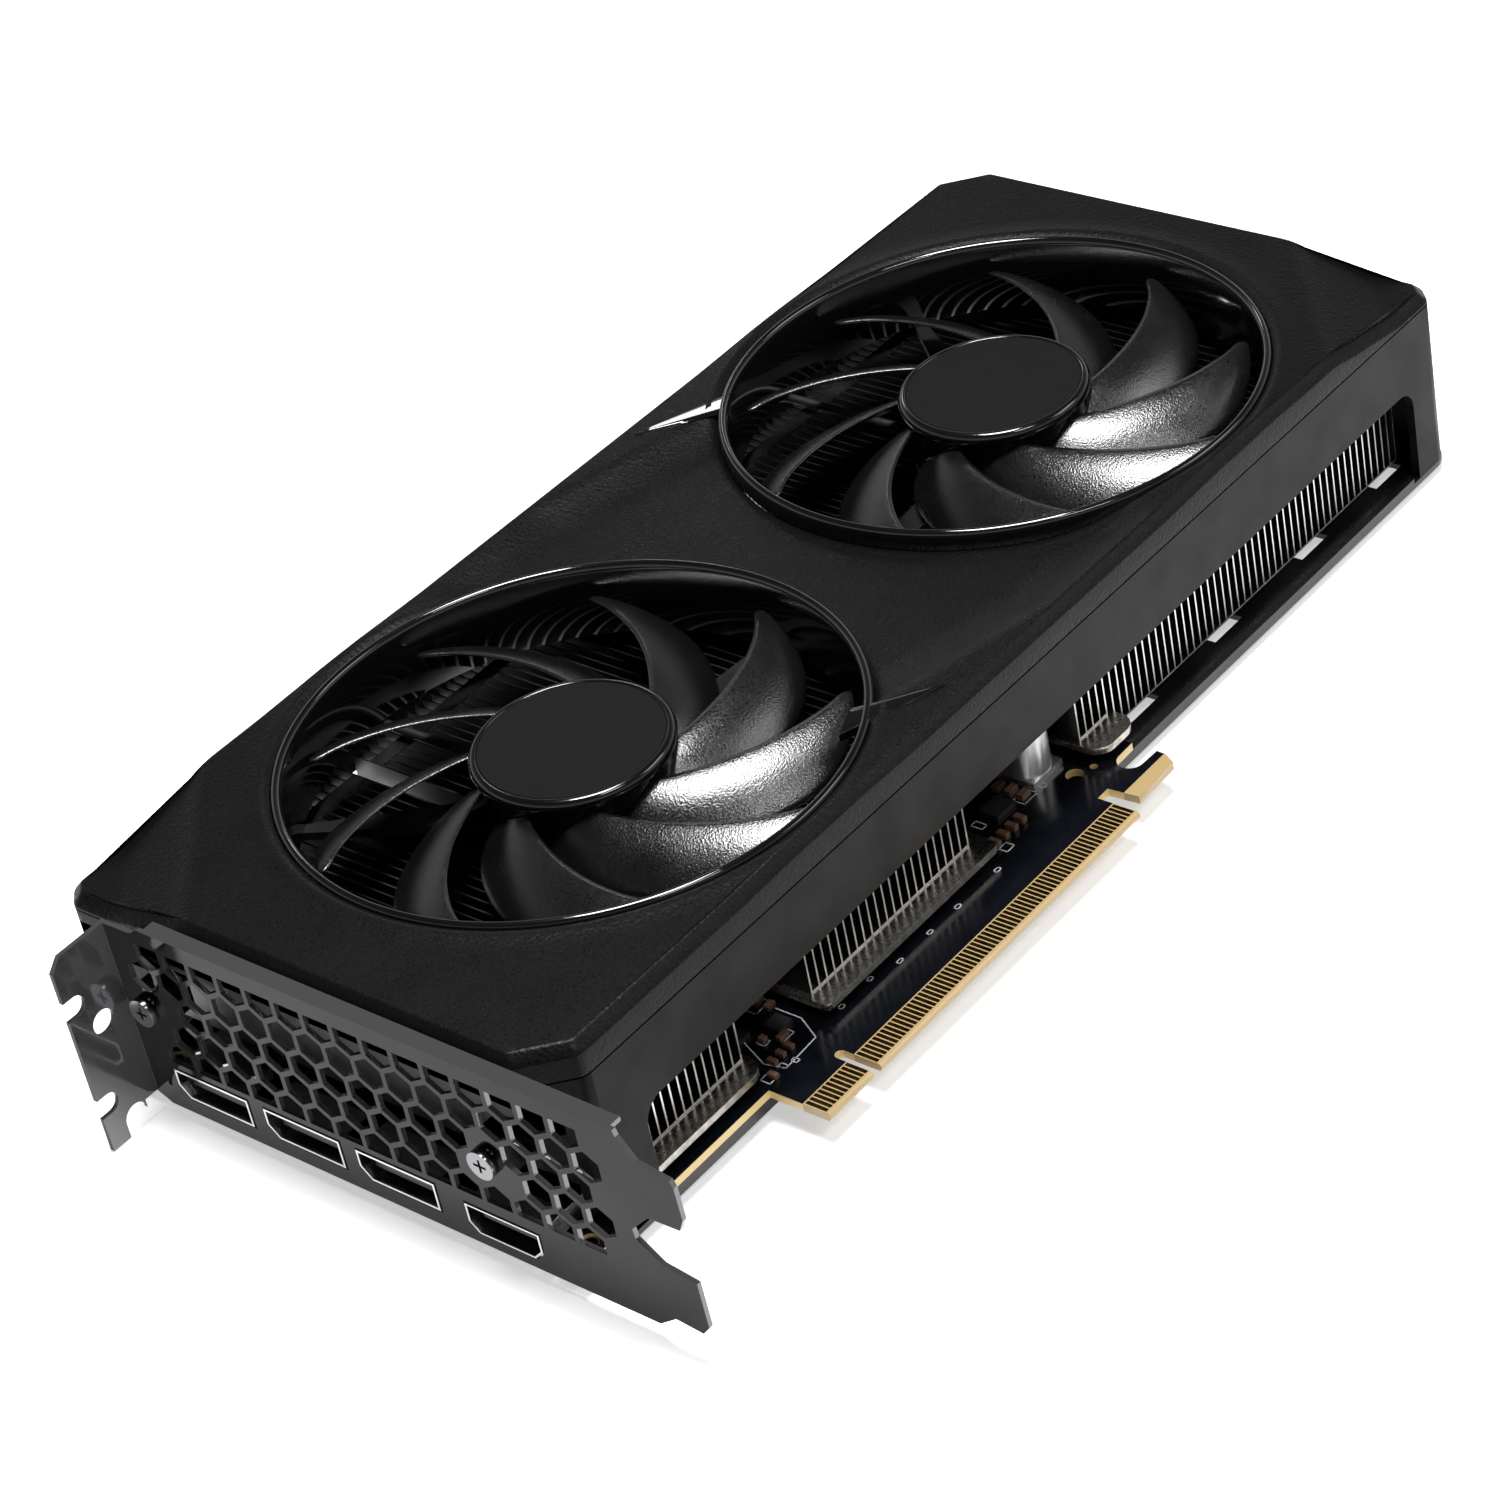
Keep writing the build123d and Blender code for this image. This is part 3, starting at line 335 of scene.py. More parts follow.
SPRING_STEEL = surface("spring_steel", (0.25, 0.25, 0.26), 0.3, metallic=1.0, grain=0.005, grain_scale=1800)
BRONZE = surface("bronze", (0.4, 0.24, 0.1), 0.4, metallic=1.0, grain=0.01, grain_scale=2500)
MAGNET = surface("magnet", (0.03, 0.028, 0.026), 0.6, grain=0.02, grain_scale=2500)
WINDING = surface("winding", (0.35, 0.11, 0.03), 0.35, metallic=0.8, pebble=0.08, pebble_scale=1800)
LEAD_SHEATH = surface("lead_sheath", (0.008, 0.008, 0.008), 0.5, grain=0.02, grain_scale=2500)
HEADER_PLASTIC = surface("header_plastic", (0.5, 0.48, 0.42), 0.5, grain=0.01, grain_scale=2000)
# Aluminium fins with painted shade: only faces looking along Y (the fin ends) keep the aluminium colour; the
# fin faces and tops are painted dark.
FIN_ALUMINIUM = surface("fin_aluminium", (0.62, 0.62, 0.60), 0.34, metallic=1.0, mottle=0.1, grain=0.006,
                        grain_scale=1500, edge_color_and_painted_light=(0.085, 0.085, 0.085), edge_axis="Y")
NICKEL = surface("nickel", (0.50, 0.49, 0.46), 0.26, metallic=1.0, mottle=0.1, grain=0.006, grain_scale=1800)
PLATE_METAL = surface("plate_metal", (0.36, 0.34, 0.31), 0.3, metallic=1.0, mottle=0.25, mottle_scale=700,
                      grain=0.02, grain_scale=1500)
PAD = surface("pad", (0.22, 0.25, 0.30), 0.85, grain=0.05, grain_scale=1500)
PACKAGE = surface("package", (0.012, 0.03, 0.018), 0.4, grain=0.01, grain_scale=2500)
DIE = surface("die", (0.10, 0.10, 0.12), 0.08, specular=0.7, grain=0.0, mottle=0.2)
CHIP_PLASTIC = surface("chip_plastic", (0.010, 0.010, 0.010), 0.45, grain=0.015, grain_scale=3500)
CHOKE = surface("choke", (0.05, 0.05, 0.052), 0.5, grain=0.03, grain_scale=2500)
CAN_ALUMINIUM = surface("can_aluminium", (0.60, 0.60, 0.61), 0.33, metallic=0.9, mottle=0.06, grain=0.006,
                        grain_scale=2500)
CERAMIC = surface("ceramic", (0.12, 0.065, 0.045), 0.4, mottle=0.2, mottle_scale=400, grain=0.01,
                  grain_scale=2500)
SOCKET_PLASTIC = surface("socket_plastic", (0.006, 0.006, 0.006), 0.35, grain=0.008, grain_scale=2500)
SOCKET_METAL = surface("socket_metal", (0.62, 0.62, 0.63), 0.18, metallic=1.0, mottle=0.1, grain=0.004,
                       grain_scale=1500)
# Black nickel bracket with a painted highlight: faces that don't look along X (flange, top lip, hole walls)
# are painted lighter and made less metallic.
BRACKET_NICKEL = surface(
    "bracket_nickel", (0.009, 0.009, 0.010), 0.09, metallic=1.0, mottle=0.2, uneven=0.04, grain=0.01,
    grain_scale=220, edge_color_and_painted_light=(0.16, 0.16, 0.165), edge_axis="X", edge_range=(0.75, 0.95),
    painted_highlight_metallic=0.75)
BRACKET_SCREW = surface("bracket_screw_steel", (0.22, 0.22, 0.23), 0.22, metallic=1.0, grain=0.004,
                        grain_scale=1800)
BACKPLATE_PAINT = surface("backplate_paint", (0.007, 0.007, 0.0075), 0.34, specular=0.5, grain=0.02,
                          grain_scale=2200, sparkle=0.1)
BRASS = surface("brass", (0.6, 0.42, 0.16), 0.3, metallic=1.0, grain=0.006, grain_scale=2000)
BOARD_EDGE = (0.62, 0.46, 0.20)
FINGER_STRIP = (0.36, 0.26, 0.125)
STRIP_MARGIN = 0.3
BOARD = surface(
    "board", (0.0028, 0.0033, 0.005), 0.17, specular=0.5, mottle=0.25, mottle_scale=220, uneven=0.04,
    grain=0.003, grain_scale=700, edge_color_and_painted_light=BOARD_EDGE)
color_below(BOARD, "Y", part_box("edge_contacts")[1].y + STRIP_MARGIN * MM, FINGER_STRIP)
CONTACT_GOLD = surface("contact_gold", (0.30, 0.20, 0.08), 0.18, metallic=1.0, mottle=0.15, mottle_scale=500,
                       uneven=0.05, grain=0.003, grain_scale=1500)
SILK_WHITE = surface("silk_white", (0.50, 0.52, 0.54), 0.6, mottle=0.2, mottle_scale=1500, grain=0.005,
                     grain_scale=3000)

NODE_MATERIALS = {
    "side_frame": FRAME_PLASTIC, "bracket": BRACKET_NICKEL, "bracket_screws": BRACKET_SCREW,
    "backplate": BACKPLATE_PAINT, "backplate_screws": BLACK_STEEL, "standoffs": BRASS,
    "circuit_board": BOARD, "edge_contacts": CONTACT_GOLD, "can_capacitors": CAN_ALUMINIUM,
    "chip_capacitors": CERAMIC, "chokes": CHOKE, "controller_chips": CHIP_PLASTIC,
    "power_stages": CHIP_PLASTIC, "memory_chips": CHIP_PLASTIC, "gpu_package": PACKAGE, "gpu_die": DIE,
    "cold_plate": PLATE_METAL, "front_base_plate": PLATE_METAL, "tail_base_plate": PLATE_METAL,
    "front_fin_stack": FIN_ALUMINIUM, "middle_fin_stack": FIN_ALUMINIUM, "tail_fin_stack": FIN_ALUMINIUM,
    "heat_pipes": NICKEL, "thermal_pads": PAD, "cooler_bracket": SPRING_STEEL, "cooler_screws": STEEL,
    "cover_screws": BLACK_STEEL, "fan_screws": BLACK_STEEL, "fan_headers": HEADER_PLASTIC,
    "power_socket": SOCKET_PLASTIC, "power_pins": BRASS, "socket_tongues": SOCKET_PLASTIC,
    "hdmi_socket": SOCKET_METAL,
}
for number in (1, 2, 3):
    NODE_MATERIALS[f"displayport_socket_{number}"] = SOCKET_METAL
for fan in FANS:
    NODE_MATERIALS.update({
        f"{fan}_fan_base": BASE_PLASTIC, f"{fan}_fan_bearing": BRONZE, f"{fan}_fan_lead": LEAD_SHEATH,
        f"{fan}_fan_magnet": MAGNET, f"{fan}_fan_shaft": STEEL, f"{fan}_fan_stator": WINDING,
        f"{fan}_hub_cap": CAP_SATIN})
for node, material in NODE_MATERIALS.items():
    mesh = NODES[node].data
    mesh.materials.clear()
    mesh.materials.append(material)

# Sheet edges and moulded edges are slightly rounded.
BEVELS = {
    "side_frame": 0.35, "bracket": 0.25, "backplate": 0.3, "circuit_board": 0.1, "power_socket": 0.2,
    "cold_plate": 0.15, "front_base_plate": 0.15, "tail_base_plate": 0.15, "can_capacitors": 0.3,
    "displayport_socket_1": 0.12, "displayport_socket_2": 0.12, "displayport_socket_3": 0.12,
    "hdmi_socket": 0.12, "front_fan_base": 0.3, "rear_fan_base": 0.3, "bracket_screws": 0.12,
    "chip_capacitors": 0.1, "chokes": 0.2,
}
WELD_DISTANCE = 0.005
for node, width in BEVELS.items():
    weld = NODES[node].modifiers.new("weld", "WELD")
    weld.merge_threshold = WELD_DISTANCE * MM
    bevel = NODES[node].modifiers.new("worn_edges", "BEVEL")
    bevel.width = width * MM
    bevel.segments = 2
    bevel.limit_method = "ANGLE"
    bevel.angle_limit = math.radians(35)
    bevel.harden_normals = True


# ------------------------------------------------------------ cover

def half_turned(point):
    """The point half a turn round the cover's middle."""
    return 2 * MIDDLE - point


def valley_depth(spot):
    """How far the valley's floor lies under the cover's top. Each half is the other one turned."""
    if spot.y > MIDDLE.y:
        spot = half_turned(spot)
    if spot.x < VALLEY_START:
        return 0.0
    offset = spot - MIDDLE
    across = offset.x * math.cos(VALLEY_TURN) + offset.y * math.sin(VALLEY_TURN)
    fall = 1 - smooth((across - VALLEY_HALF_FLOOR) / (VALLEY_HALF_MOUTH - VALLEY_HALF_FLOOR))
    line = (CREASE_END - CREASE_START).normalized()
    inward = (spot - CREASE_START).dot(Vector((-line.y, line.x)))
    rise = min(max(min(inward, spot.y - NEAR - EDGE_STRIP) / CREASE_RISE, 0.0), 1.0)
    return VALLEY_DROP * fall * (1 - (1 - rise) ** VALLEY_END_CURVE)


def cover_height(spot):
    """Height of the cover's upper surface above a spot, before its edges roll down."""
    depth = valley_depth(spot)
    level = 1 - min(depth / VALLEY_DROP * VALLEY_FADE, 1.0)
    reach = min((spot - centre.xy).length for centre in FANS.values())
    lip = LIP_RISE * (1 - smooth(abs(reach - LIP_RADIUS) / LIP_HALF_WIDTH))
    field = FIELD_DROP * smooth((reach - LIP_RADIUS) / (FIELD_RADIUS - LIP_RADIUS))
    mouth = MOUTH_DROP * (1 - smooth((reach - COVER_HOLE) / MOUTH_WIDTH))
    height = TOP - depth + (lip - field) * level - mouth
    outward = Vector((math.cos(FACET_TURN), math.sin(FACET_TURN)))
    for crease, side in ((FACET_CREASE, 1), (half_turned(FACET_CREASE), -1)):
        beyond = max((spot - crease).dot(outward) * side, 0.0)
        height -= min(FACET_SLOPE * beyond * min(beyond / FACET_ROUND, 1.0), FACET_FALL)
    return height


OUTLINE_STEP = 1.6
ROUND_STEPS = 6


def outline(inset):
    """Points round the shroud, moved inwards, with two cut corners and two nearly round ones."""
    cut, facet_cut = CORNER_CUT - 0.6 * inset, FACET_CORNER_CUT - 0.6 * inset
    left, right, near, far = LEFT + inset, RIGHT - inset, NEAR + inset, FAR - inset
    corners = [Vector(point) for point in (
        (left + cut, near), (right - facet_cut, near), (right, near + facet_cut), (right, far - cut),
        (right - cut, far), (left + facet_cut, far), (left, far - facet_cut), (left, near + cut))]
    points = []
    for index, corner in enumerate(corners):
        following = corners[(index + 1) % len(corners)]
        before = (corners[index - 1] - corner).normalized()
        after = (following - corner).normalized()
        reach = CORNER_ROUND * math.tan((math.pi - before.angle(after)) / 2)
        start, end = corner + before * reach, corner + after * reach
        for part in range(ROUND_STEPS + 1):
            t = part / ROUND_STEPS
            points.append(start * (1 - t) ** 2 + corner * 2 * t * (1 - t) + end * t * t)
        run = following - after * reach - end
        count = max(int(run.length / OUTLINE_STEP), 1)
        for part in range(1, count):
            points.append(end + run * part / count)
    return points


# The cover's chamfered edge, from outside in: inset from the outline, and drop below the surface.
EDGE_LOOPS = [(0.0, 1.95), (0.04, 1.75), (0.12, 1.62), (1.55, 0.2), (1.75, 0.07), (2.1, 0.0)]
EDGE_WIDTH = EDGE_LOOPS[-1][0]
WALL_LOOP = 0.4

# The cover's layout: rings of points round each fan opening, then a grid.
OPENING_STEPS = 180
OPENING_RINGS = [(50.2, 180), (50.8, 180), (51.5, 180), (52.3, 180), (53.2, 170)]
RING_MARGIN = 2.7
GRID = 1.7
GRID_MARGIN = 3.2
GRID_RADIUS = 54.2


def circle_spots(centre, reach, steps):
    """Points evenly round a circle."""
    turns = [2 * math.pi * step / steps for step in range(steps)]
    return [centre.xy + Vector((math.cos(turn), math.sin(turn))) * reach for turn in turns]


def build_cover():
    """The cover's skin: a wall round its outline, a chamfered edge and a surface of varying height."""
    base = outline(0.0)
    count = len(base)
    inwards = []
    for index in range(count):
        tangent = (base[(index + 1) % count] - base[index - 1]).normalized()
        inwards.append(Vector((-tangent.y, tangent.x)))
    edges = [cover_height(spot + inward * EDGE_WIDTH) for spot, inward in zip(base, inwards)]
    rim = list(zip(base, inwards, edges))
    points = [(*spot, SEAM) for spot in base]
    points += [(*spot, min(SEAM + WALL_LOOP, (SEAM + edge - EDGE_LOOPS[0][1]) / 2)) for spot, _, edge in rim]
    for inset, drop in EDGE_LOOPS:
        points += [(*(spot + inward * inset), edge - drop) for spot, inward, edge in rim]
    faces = []
    rim_start = len(points) - count
    for low in range(0, rim_start, count):
        for index in range(count):
            there = (index + 1) % count
            faces.append((low + index, low + there, low + count + there, low + count + index))
    # Flat layout of the top: the rim, both fan holes, rings of points round them, and a grid.
    spots = [Vector(point[:2]) for point in points[rim_start:]]
    lines = [(index, (index + 1) % count) for index in range(count)]
    for centre in FANS.values():
        start = len(spots)
        spots += circle_spots(centre, COVER_HOLE, OPENING_STEPS)
        lines += [(start + step, start + (step + 1) % OPENING_STEPS) for step in range(OPENING_STEPS)]
        for reach, steps in OPENING_RINGS:
            for spot in circle_spots(centre, reach, steps):
                clear = all((spot - other.xy).length > reach - 0.3 for other in FANS.values())
                if clear and inside_edge(spot, RING_MARGIN):
                    spots.append(spot)
    for column in range(int((RIGHT - LEFT) / GRID) + 1):
        for row in range(int((FAR - NEAR) / GRID) + 1):
            spot = Vector((LEFT + column * GRID + (row % 2) * GRID / 2, NEAR + row * GRID))
            clear = all((spot - centre.xy).length > GRID_RADIUS for centre in FANS.values())
            if clear and inside_edge(spot, GRID_MARGIN):
                spots.append(spot)
    flat, _, triangles, *_ = delaunay_2d_cdt(spots, lines, [], 0, 1e-5)
    points += [(*spot, cover_height(spot)) for spot in flat[count:]]
    for face in triangles:
        middle = sum((flat[index] for index in face), Vector((0, 0))) / len(face)
        outside_fans = all((middle - centre.xy).length > COVER_HOLE - 0.02 for centre in FANS.values())
        if outside_fans and inside_edge(middle, EDGE_WIDTH - 0.1):
            faces.append(tuple(rim_start + index for index in face))
    cover = new_piece("cover_shell", points, faces, "card", "cover_plastic", COVER_PLASTIC)
    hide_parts("top_cover")
    shell = cover.modifiers.new("wall", "SOLIDIFY")
    shell.thickness = SKIN * MM
    shell.offset = -1
    shell.use_even_offset = False
    add_edge_split(cover, 50)


def inside_edge(spot, margin):
    """Whether a spot lies inside the shroud's outline by more than the margin."""
    across = min(spot.x - LEFT, RIGHT - spot.x)
    along = min(spot.y - NEAR, FAR - spot.y)
    cut = FACET_CORNER_CUT if (spot.x - MIDDLE.x) * (spot.y - MIDDLE.y) < 0 else CORNER_CUT
    corner = (across + along - cut) / math.sqrt(2)
    return across > margin and along > margin and corner > margin


build_cover()

# A gloss spur beside each fan: its two corners at the fan, with its tip between them.
SPUR = [Vector(point) for point in ((106.1, 108.1), (87.6, 115.7), (99.2, 105.6))]
SPUR_TOP = TOP + 0.1
SPUR_ROLL = 0.25
SPUR_ROOT = 1.0
SPUR_ROWS = 10
SPUR_COLUMNS = 8


def patch_faces(rows, columns):
    """Faces of an upper and a lower sheet of points, with the wall that joins their borders."""
    wide = columns + 1
    half = (rows + 1) * wide
    faces = []
    for row in range(rows):
        for column in range(columns):
            corner = row * wide + column
            quad = (corner, corner + 1, corner + wide + 1, corner + wide)
            faces.append(quad)
            faces.append(tuple(half + index for index in reversed(quad)))
    border = [row * wide for row in range(rows)]
    border += [rows * wide + column for column in range(columns)]
    border += [(rows - row) * wide + columns for row in range(rows)]
    border += [columns - column for column in range(columns)]
    for index, here in enumerate(border):
        there = border[(index + 1) % len(border)]
        faces.append((here, there, half + there, half + here))
    return faces


def spur_mesh(root, tip, other_root):
    """A flat gloss spur that stands a little above the cover, with rolled edges."""
    upper, lower = [], []
    for row in range(SPUR_ROWS + 1):
        start = root.lerp(tip, row / SPUR_ROWS)
        end = other_root.lerp(tip, row / SPUR_ROWS)
        for column in range(SPUR_COLUMNS + 1):
            spot = start.lerp(end, column / SPUR_COLUMNS)
            at_rim = column in (0, SPUR_COLUMNS) or row == SPUR_ROWS
            upper.append((*spot, SPUR_TOP - (SPUR_ROLL if at_rim else 0.0)))
            lower.append((*spot, cover_height(spot) - SPUR_ROOT))
    return upper + lower, patch_faces(SPUR_ROWS, SPUR_COLUMNS)


spurs = [spur_mesh(*SPUR), spur_mesh(*[half_turned(point) for point in SPUR])]
accents = new_piece("gloss_spurs", *join_meshes(*spurs), "card", "gloss_black", GLOSS_BLACK)
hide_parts("cover_accents")
add_edge_split(accents, 60)


# ------------------------------------------------------------ fans

def above(height):
    """Height of a level given above the board's fan side."""
    return BOARD_TOP + height


RING_PROFILE = [
    (RING_INNER, RING_LOW + 0.2), (RING_INNER, RING_TOP - 1.6), (RING_INNER + 0.06, RING_TOP - 1.0),
    (RING_INNER + 0.22, RING_TOP - 0.5), (RING_INNER + 0.5, RING_TOP - 0.16),
    (RING_INNER + 0.85, RING_TOP - 0.02), (RING_OUTER - 0.8, RING_TOP - 0.02),
    (RING_OUTER - 0.45, RING_TOP - 0.14), (RING_OUTER - 0.16, RING_TOP - 0.42),
    (RING_OUTER - 0.03, RING_TOP - 0.85), (RING_OUTER, RING_TOP - 1.4), (RING_OUTER, RING_LOW + 0.2),
    (RING_OUTER - 0.2, RING_LOW), (RING_INNER + 0.2, RING_LOW)]

HUB_PROFILE = [
    (0.0, CAP_LOW - 0.02), (15.7, CAP_LOW - 0.02), (15.78, CAP_LOW + 0.1), (15.8, HUB_TOP - 0.25),
    (15.9, HUB_TOP - 0.08), (16.1, HUB_TOP), (16.45, HUB_TOP - 0.02), (16.8, HUB_TOP - 0.2),
    (17.1, HUB_TOP - 0.55), (HUB_RADIUS, HUB_TOP - 1.1), (HUB_RADIUS, HUB_TOP - 1.6), (17.15, HUB_TOP - 2.0),
    (16.85, HUB_TOP - 2.3), (16.5, HUB_TOP - 2.5), (16.35, HUB_TOP - 2.9), (16.3, HUB_LOW + 0.4),
    (16.1, HUB_LOW), (15.6, HUB_LOW), (15.5, HUB_LOW + 0.3), (15.5, HUB_TOP - CAP_BED),
    (0.0, HUB_TOP - CAP_BED)]

# Stations of a blade: distance from the axis, angles of the hollow and of the round edge from
# the tip, and the heights of the two edges above the board.
BLADE_STATIONS = [
    (15.9, -49.5, -87.0, 30.6, 24.0), (22.0, -35.5, -71.0, 30.9, 23.7), (29.0, -24.5, -53.5, 31.1, 23.7),
    (36.0, -15.5, -39.0, 31.2, 24.2), (42.0, -8.0, -26.0, 31.2, 25.6), (46.2, -1.5, -11.5, 31.0, 28.4)]
BLADE_ROWS = 26
BLADE_COLUMNS = 14
BLADE_CAMBER = 0.8
BLADE_THICK = 1.3
BLADE_WIDEST = 0.42
TIP_START = 43.4
TIP_LENGTH = 2.8


def between(values, t):
    """A smooth curve through evenly numbered values (Catmull-Rom)."""
    index = min(int(t), len(values) - 2)
    t -= index
    a, b = values[max(index - 1, 0)], values[index]
    c, d = values[index + 1], values[min(index + 2, len(values) - 1)]
    slope, bend, twist = c - a, 2 * a - 5 * b + 4 * c - d, 3 * b - a - 3 * c + d
    return 0.5 * (2 * b + slope * t + bend * t * t + twist * t ** 3)


def blade_mesh(centre, tip_turn):
    """One sickle blade with a crowned section, thin edges and a rounded tip."""
    skins = []
    for side in (1, -1):
        skin = []
        for row in range(BLADE_ROWS + 1):
            share = row / BLADE_ROWS
            station = (1 - (1 - share) ** 1.25) * (len(BLADE_STATIONS) - 1)
            reach, hollow, back, high, low = (
                between([values[index] for values in BLADE_STATIONS], station) for index in range(5))
            tip = max(reach - TIP_START, 0) / TIP_LENGTH
            width = math.sqrt(max(1 - tip * tip, 0.0))
            camber = BLADE_CAMBER * (1 - 0.4 * share)
            half_thick = side * BLADE_THICK / 2 * (0.4 + 0.6 * width)
            for column in range(BLADE_COLUMNS + 1):
                across = BLADE_WIDEST + (column / BLADE_COLUMNS - BLADE_WIDEST) * width
                turn = math.radians(tip_turn + hollow + (back - hollow) * across)
                swell = math.sqrt(max(math.sin(math.pi * column / BLADE_COLUMNS), 0))
                height = high + (low - high) * across + camber * math.sin(math.pi * across)
                height += half_thick * (0.25 + 0.75 * swell)
                skin.append((
                    centre[0] + reach * math.cos(turn), centre[1] + reach * math.sin(turn), above(height)))
        skins.append(skin)
    faces = [(a, d, c, b) for a, b, c, d in patch_faces(BLADE_ROWS, BLADE_COLUMNS)]
    return skins[0] + skins[1], faces


for fan, centre in FANS.items():
    ring_mesh = lathe(RING_PROFILE, centre, 192, closed=True)
    ring = new_piece(f"{fan}_ring", *ring_mesh, "card", "gloss_black", GLOSS_BLACK)
    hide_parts(f"{fan}_fan_ring")
    hub_mesh = lathe(HUB_PROFILE, centre, 120)
    hub = new_piece(f"{fan}_hub", *hub_mesh, f"{fan}_rotor", "rotor_plastic", HUB_GLOSS)
    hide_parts(f"{fan}_fan_rotor")
    add_edge_split(hub, 55)
    blades = [blade_mesh(centre, FIRST_TIP + 360 / BLADE_COUNT * number) for number in range(BLADE_COUNT)]
    blades_mesh = join_meshes(*blades)
    rotor = new_piece(f"{fan}_blades", *blades_mesh, f"{fan}_rotor", "rotor_plastic", BLADE_PLASTIC)
    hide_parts(f"{fan}_fan_rotor")

# ------------------------------------------------------------ board details

SILK_LOW = BOARD_TOP + 0.005
SILK_HIGH = BOARD_TOP + 0.02
SILK_LINE = 0.22
OUTLINE_HALF_LINE = 0.12


def silk_frame(low_x, low_y, high_x, high_y):
    """A printed rectangle round a part."""
    bars = [
        (low_x, low_y, high_x, low_y + SILK_LINE), (low_x, high_y - SILK_LINE, high_x, high_y),
        (low_x, low_y, low_x + SILK_LINE, high_y), (high_x - SILK_LINE, low_y, high_x, high_y)]
    return [box_mesh((*bar[:2], SILK_LOW), (*bar[2:], SILK_HIGH)) for bar in bars]


def silk_line(start, end):
    """A printed line between two places."""
    run = end - start
    across = Vector((-run.y, run.x)).normalized() * OUTLINE_HALF_LINE
    corners = [start - across, end - across, end + across, start + across]
    points = [(*corner, level) for level in (SILK_LOW, SILK_HIGH) for corner in corners]
    return points, [(3, 2, 1, 0), (4, 5, 6, 7), (0, 1, 5, 4), (1, 2, 6, 5), (2, 3, 7, 6), (3, 0, 4, 7)]


SILK_FRAMES = [
    (-11.0, 12.8, -8.4, 15.0), (-7.0, 13.0, -5.9, 14.6), (-5.0, 12.2, -3.9, 13.6), (1.2, 25.5, 5.0, 28.0),
    (-1.9, 17.2, 0.9, 18.9), (-4.3, 19.3, -2.6, 21.3), (8.6, 13.8, 9.9, 14.8), (16.2, 13.9, 17.5, 14.9),
    (22.0, 12.3, 23.4, 13.2), (30.1, 12.3, 31.5, 13.2), (37.5, 12.1, 38.9, 13.1), (48.2, 11.9, 49.6, 12.9),
    (50.9, 15.4, 53.2, 17.6), (53.4, 13.6, 55.6, 15.6), (65.2, 18.6, 69.0, 21.2), (70.2, 18.2, 71.6, 19.6),
    (77.6, 22.4, 78.8, 25.4), (56.4, 21.0, 58.0, 23.6)]
# Outline round the group of parts beside the first plate.
GROUP_OUTLINE = [(4.0, 23.8), (4.0, 18.4), (1.4, 13.4), (-6.7, 13.0), (-7.6, 16.8), (-4.7, 23.7)]
silk = []
for corners in SILK_FRAMES:
    silk += silk_frame(*corners)
for start, end in zip(GROUP_OUTLINE, GROUP_OUTLINE[1:]):
    silk.append(silk_line(Vector(start), Vector(end)))
new_piece("printed_marks", *join_meshes(*silk), "card", "board", SILK_WHITE, smooth_faces=False)

# ------------------------------------------------------------ studio

FLOOR_HALF = 3.0
FLOOR_GAP = 0.0002
FLOOR_GLOW = 0.5


def build_floor():
    """A plain pale floor just under the card."""
    low = CAD_BOX[0][2] - FLOOR_GAP
    corners = [(-1, -1), (1, -1), (1, 1), (-1, 1)]
    mesh = bpy.data.meshes.new("floor")
    mesh.from_pydata([(x * FLOOR_HALF, y * FLOOR_HALF, low) for x, y in corners], [], [(0, 1, 2, 3)])
    floor = bpy.data.objects.new("floor", mesh)
    bpy.context.scene.collection.objects.link(floor)
    material = surface("floor_paint", (0.86, 0.86, 0.86), 0.8, specular=0.2, mottle=0.01, uneven=0.02)
    shader = material.node_tree.nodes["Principled BSDF"]
    shader.inputs["Emission Color"].default_value = (1, 1, 1, 1)
    shader.inputs["Emission Strength"].default_value = FLOOR_GLOW
    mesh.materials.append(material)


build_floor()

AIM = Vector((0.066, 0.066, 0.02))


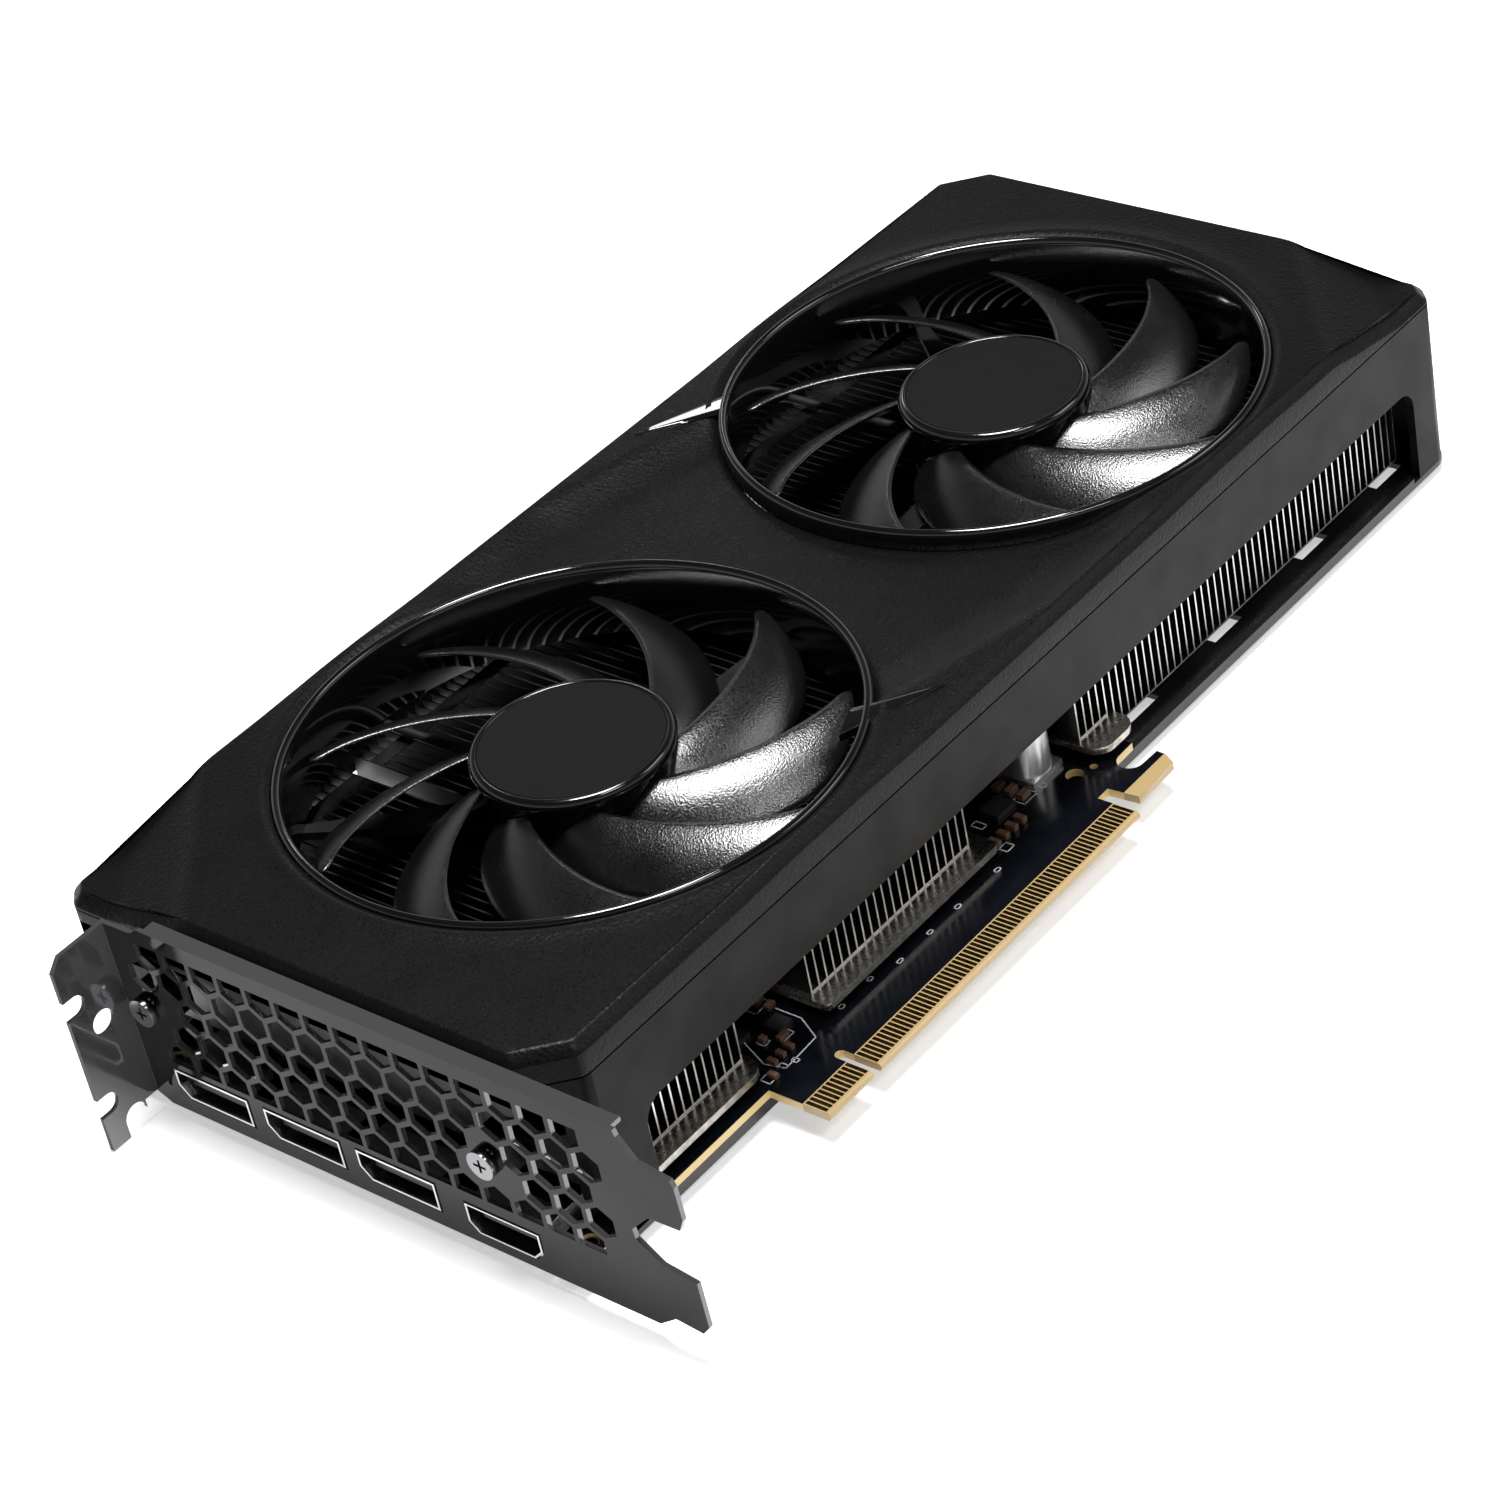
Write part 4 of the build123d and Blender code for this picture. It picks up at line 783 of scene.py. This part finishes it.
def soft_light(name, place, power, width, height):
    """A rectangular light at a place from the aim point, facing it."""
    data = bpy.data.lights.new(name, "AREA")
    data.shape = "RECTANGLE"
    data.size = width
    data.size_y = height
    data.energy = power
    light = bpy.data.objects.new(name, data)
    bpy.context.scene.collection.objects.link(light)
    light.location = AIM + Vector(place)
    light.rotation_euler = (-Vector(place)).to_track_quat("-Z", "Y").to_euler()


soft_light("overhead", (0.02, -0.02, 0.85), 13.0, 0.30, 0.30)
soft_light("spur_glint", (0.302, 0.3215, 0.245), 0.045, 0.04, 0.04)
soft_light("near_strip", (0.6, -0.55, 0.6), 1.6, 0.5, 0.3)
soft_light("rim", (-0.12, -0.66, 0.9), 2.0, 0.34, 0.12)

# The studio's brightness by how high one looks: pale at the sides, dark above.
HORIZON = (0.9, 0.9, 0.91)
ZENITH = (0.02, 0.02, 0.021)
ZENITH_PLACE = 0.95
BETWEEN_LEVELS = [(0.22, 0.5), (0.42, 0.20), (0.56, 0.05), (0.72, 0.015)]


def build_world():
    """The studio round the card."""
    world = bpy.data.worlds.new("studio")
    bpy.context.scene.world = world
    world.use_nodes = True
    tree = world.node_tree
    background = tree.nodes["Background"]
    direction = tree.nodes.new("ShaderNodeTexCoord")
    parts = tree.nodes.new("ShaderNodeSeparateXYZ")
    tree.links.new(direction.outputs["Generated"], parts.inputs[0])
    ramp = tree.nodes.new("ShaderNodeValToRGB")
    tree.links.new(parts.outputs["Z"], ramp.inputs["Fac"])
    stops = ramp.color_ramp.elements
    stops[0].position = 0.0
    stops[0].color = (*HORIZON, 1)
    stops[1].position = ZENITH_PLACE
    stops[1].color = (*ZENITH, 1)
    for position, level in BETWEEN_LEVELS:
        stops.new(position).color = (level, level, level * 1.02, 1)
    tree.links.new(ramp.outputs["Color"], background.inputs["Color"])
    background.inputs["Strength"].default_value = 1.0


build_world()

camera_data = bpy.data.cameras.new("camera")
camera_data.lens = 98.512
camera_data.sensor_width = 36.0
camera_data.clip_start = 0.01
camera = bpy.data.objects.new("camera", camera_data)
bpy.context.scene.collection.objects.link(camera)
camera.location = (-0.346608, -0.346872, 0.411339)
camera.rotation_euler = Euler([math.radians(angle) for angle in (54.1449, 9.9584, -51.0677)], "XYZ")
bpy.context.scene.camera = camera
bpy.context.scene.view_settings.view_transform = "Standard"
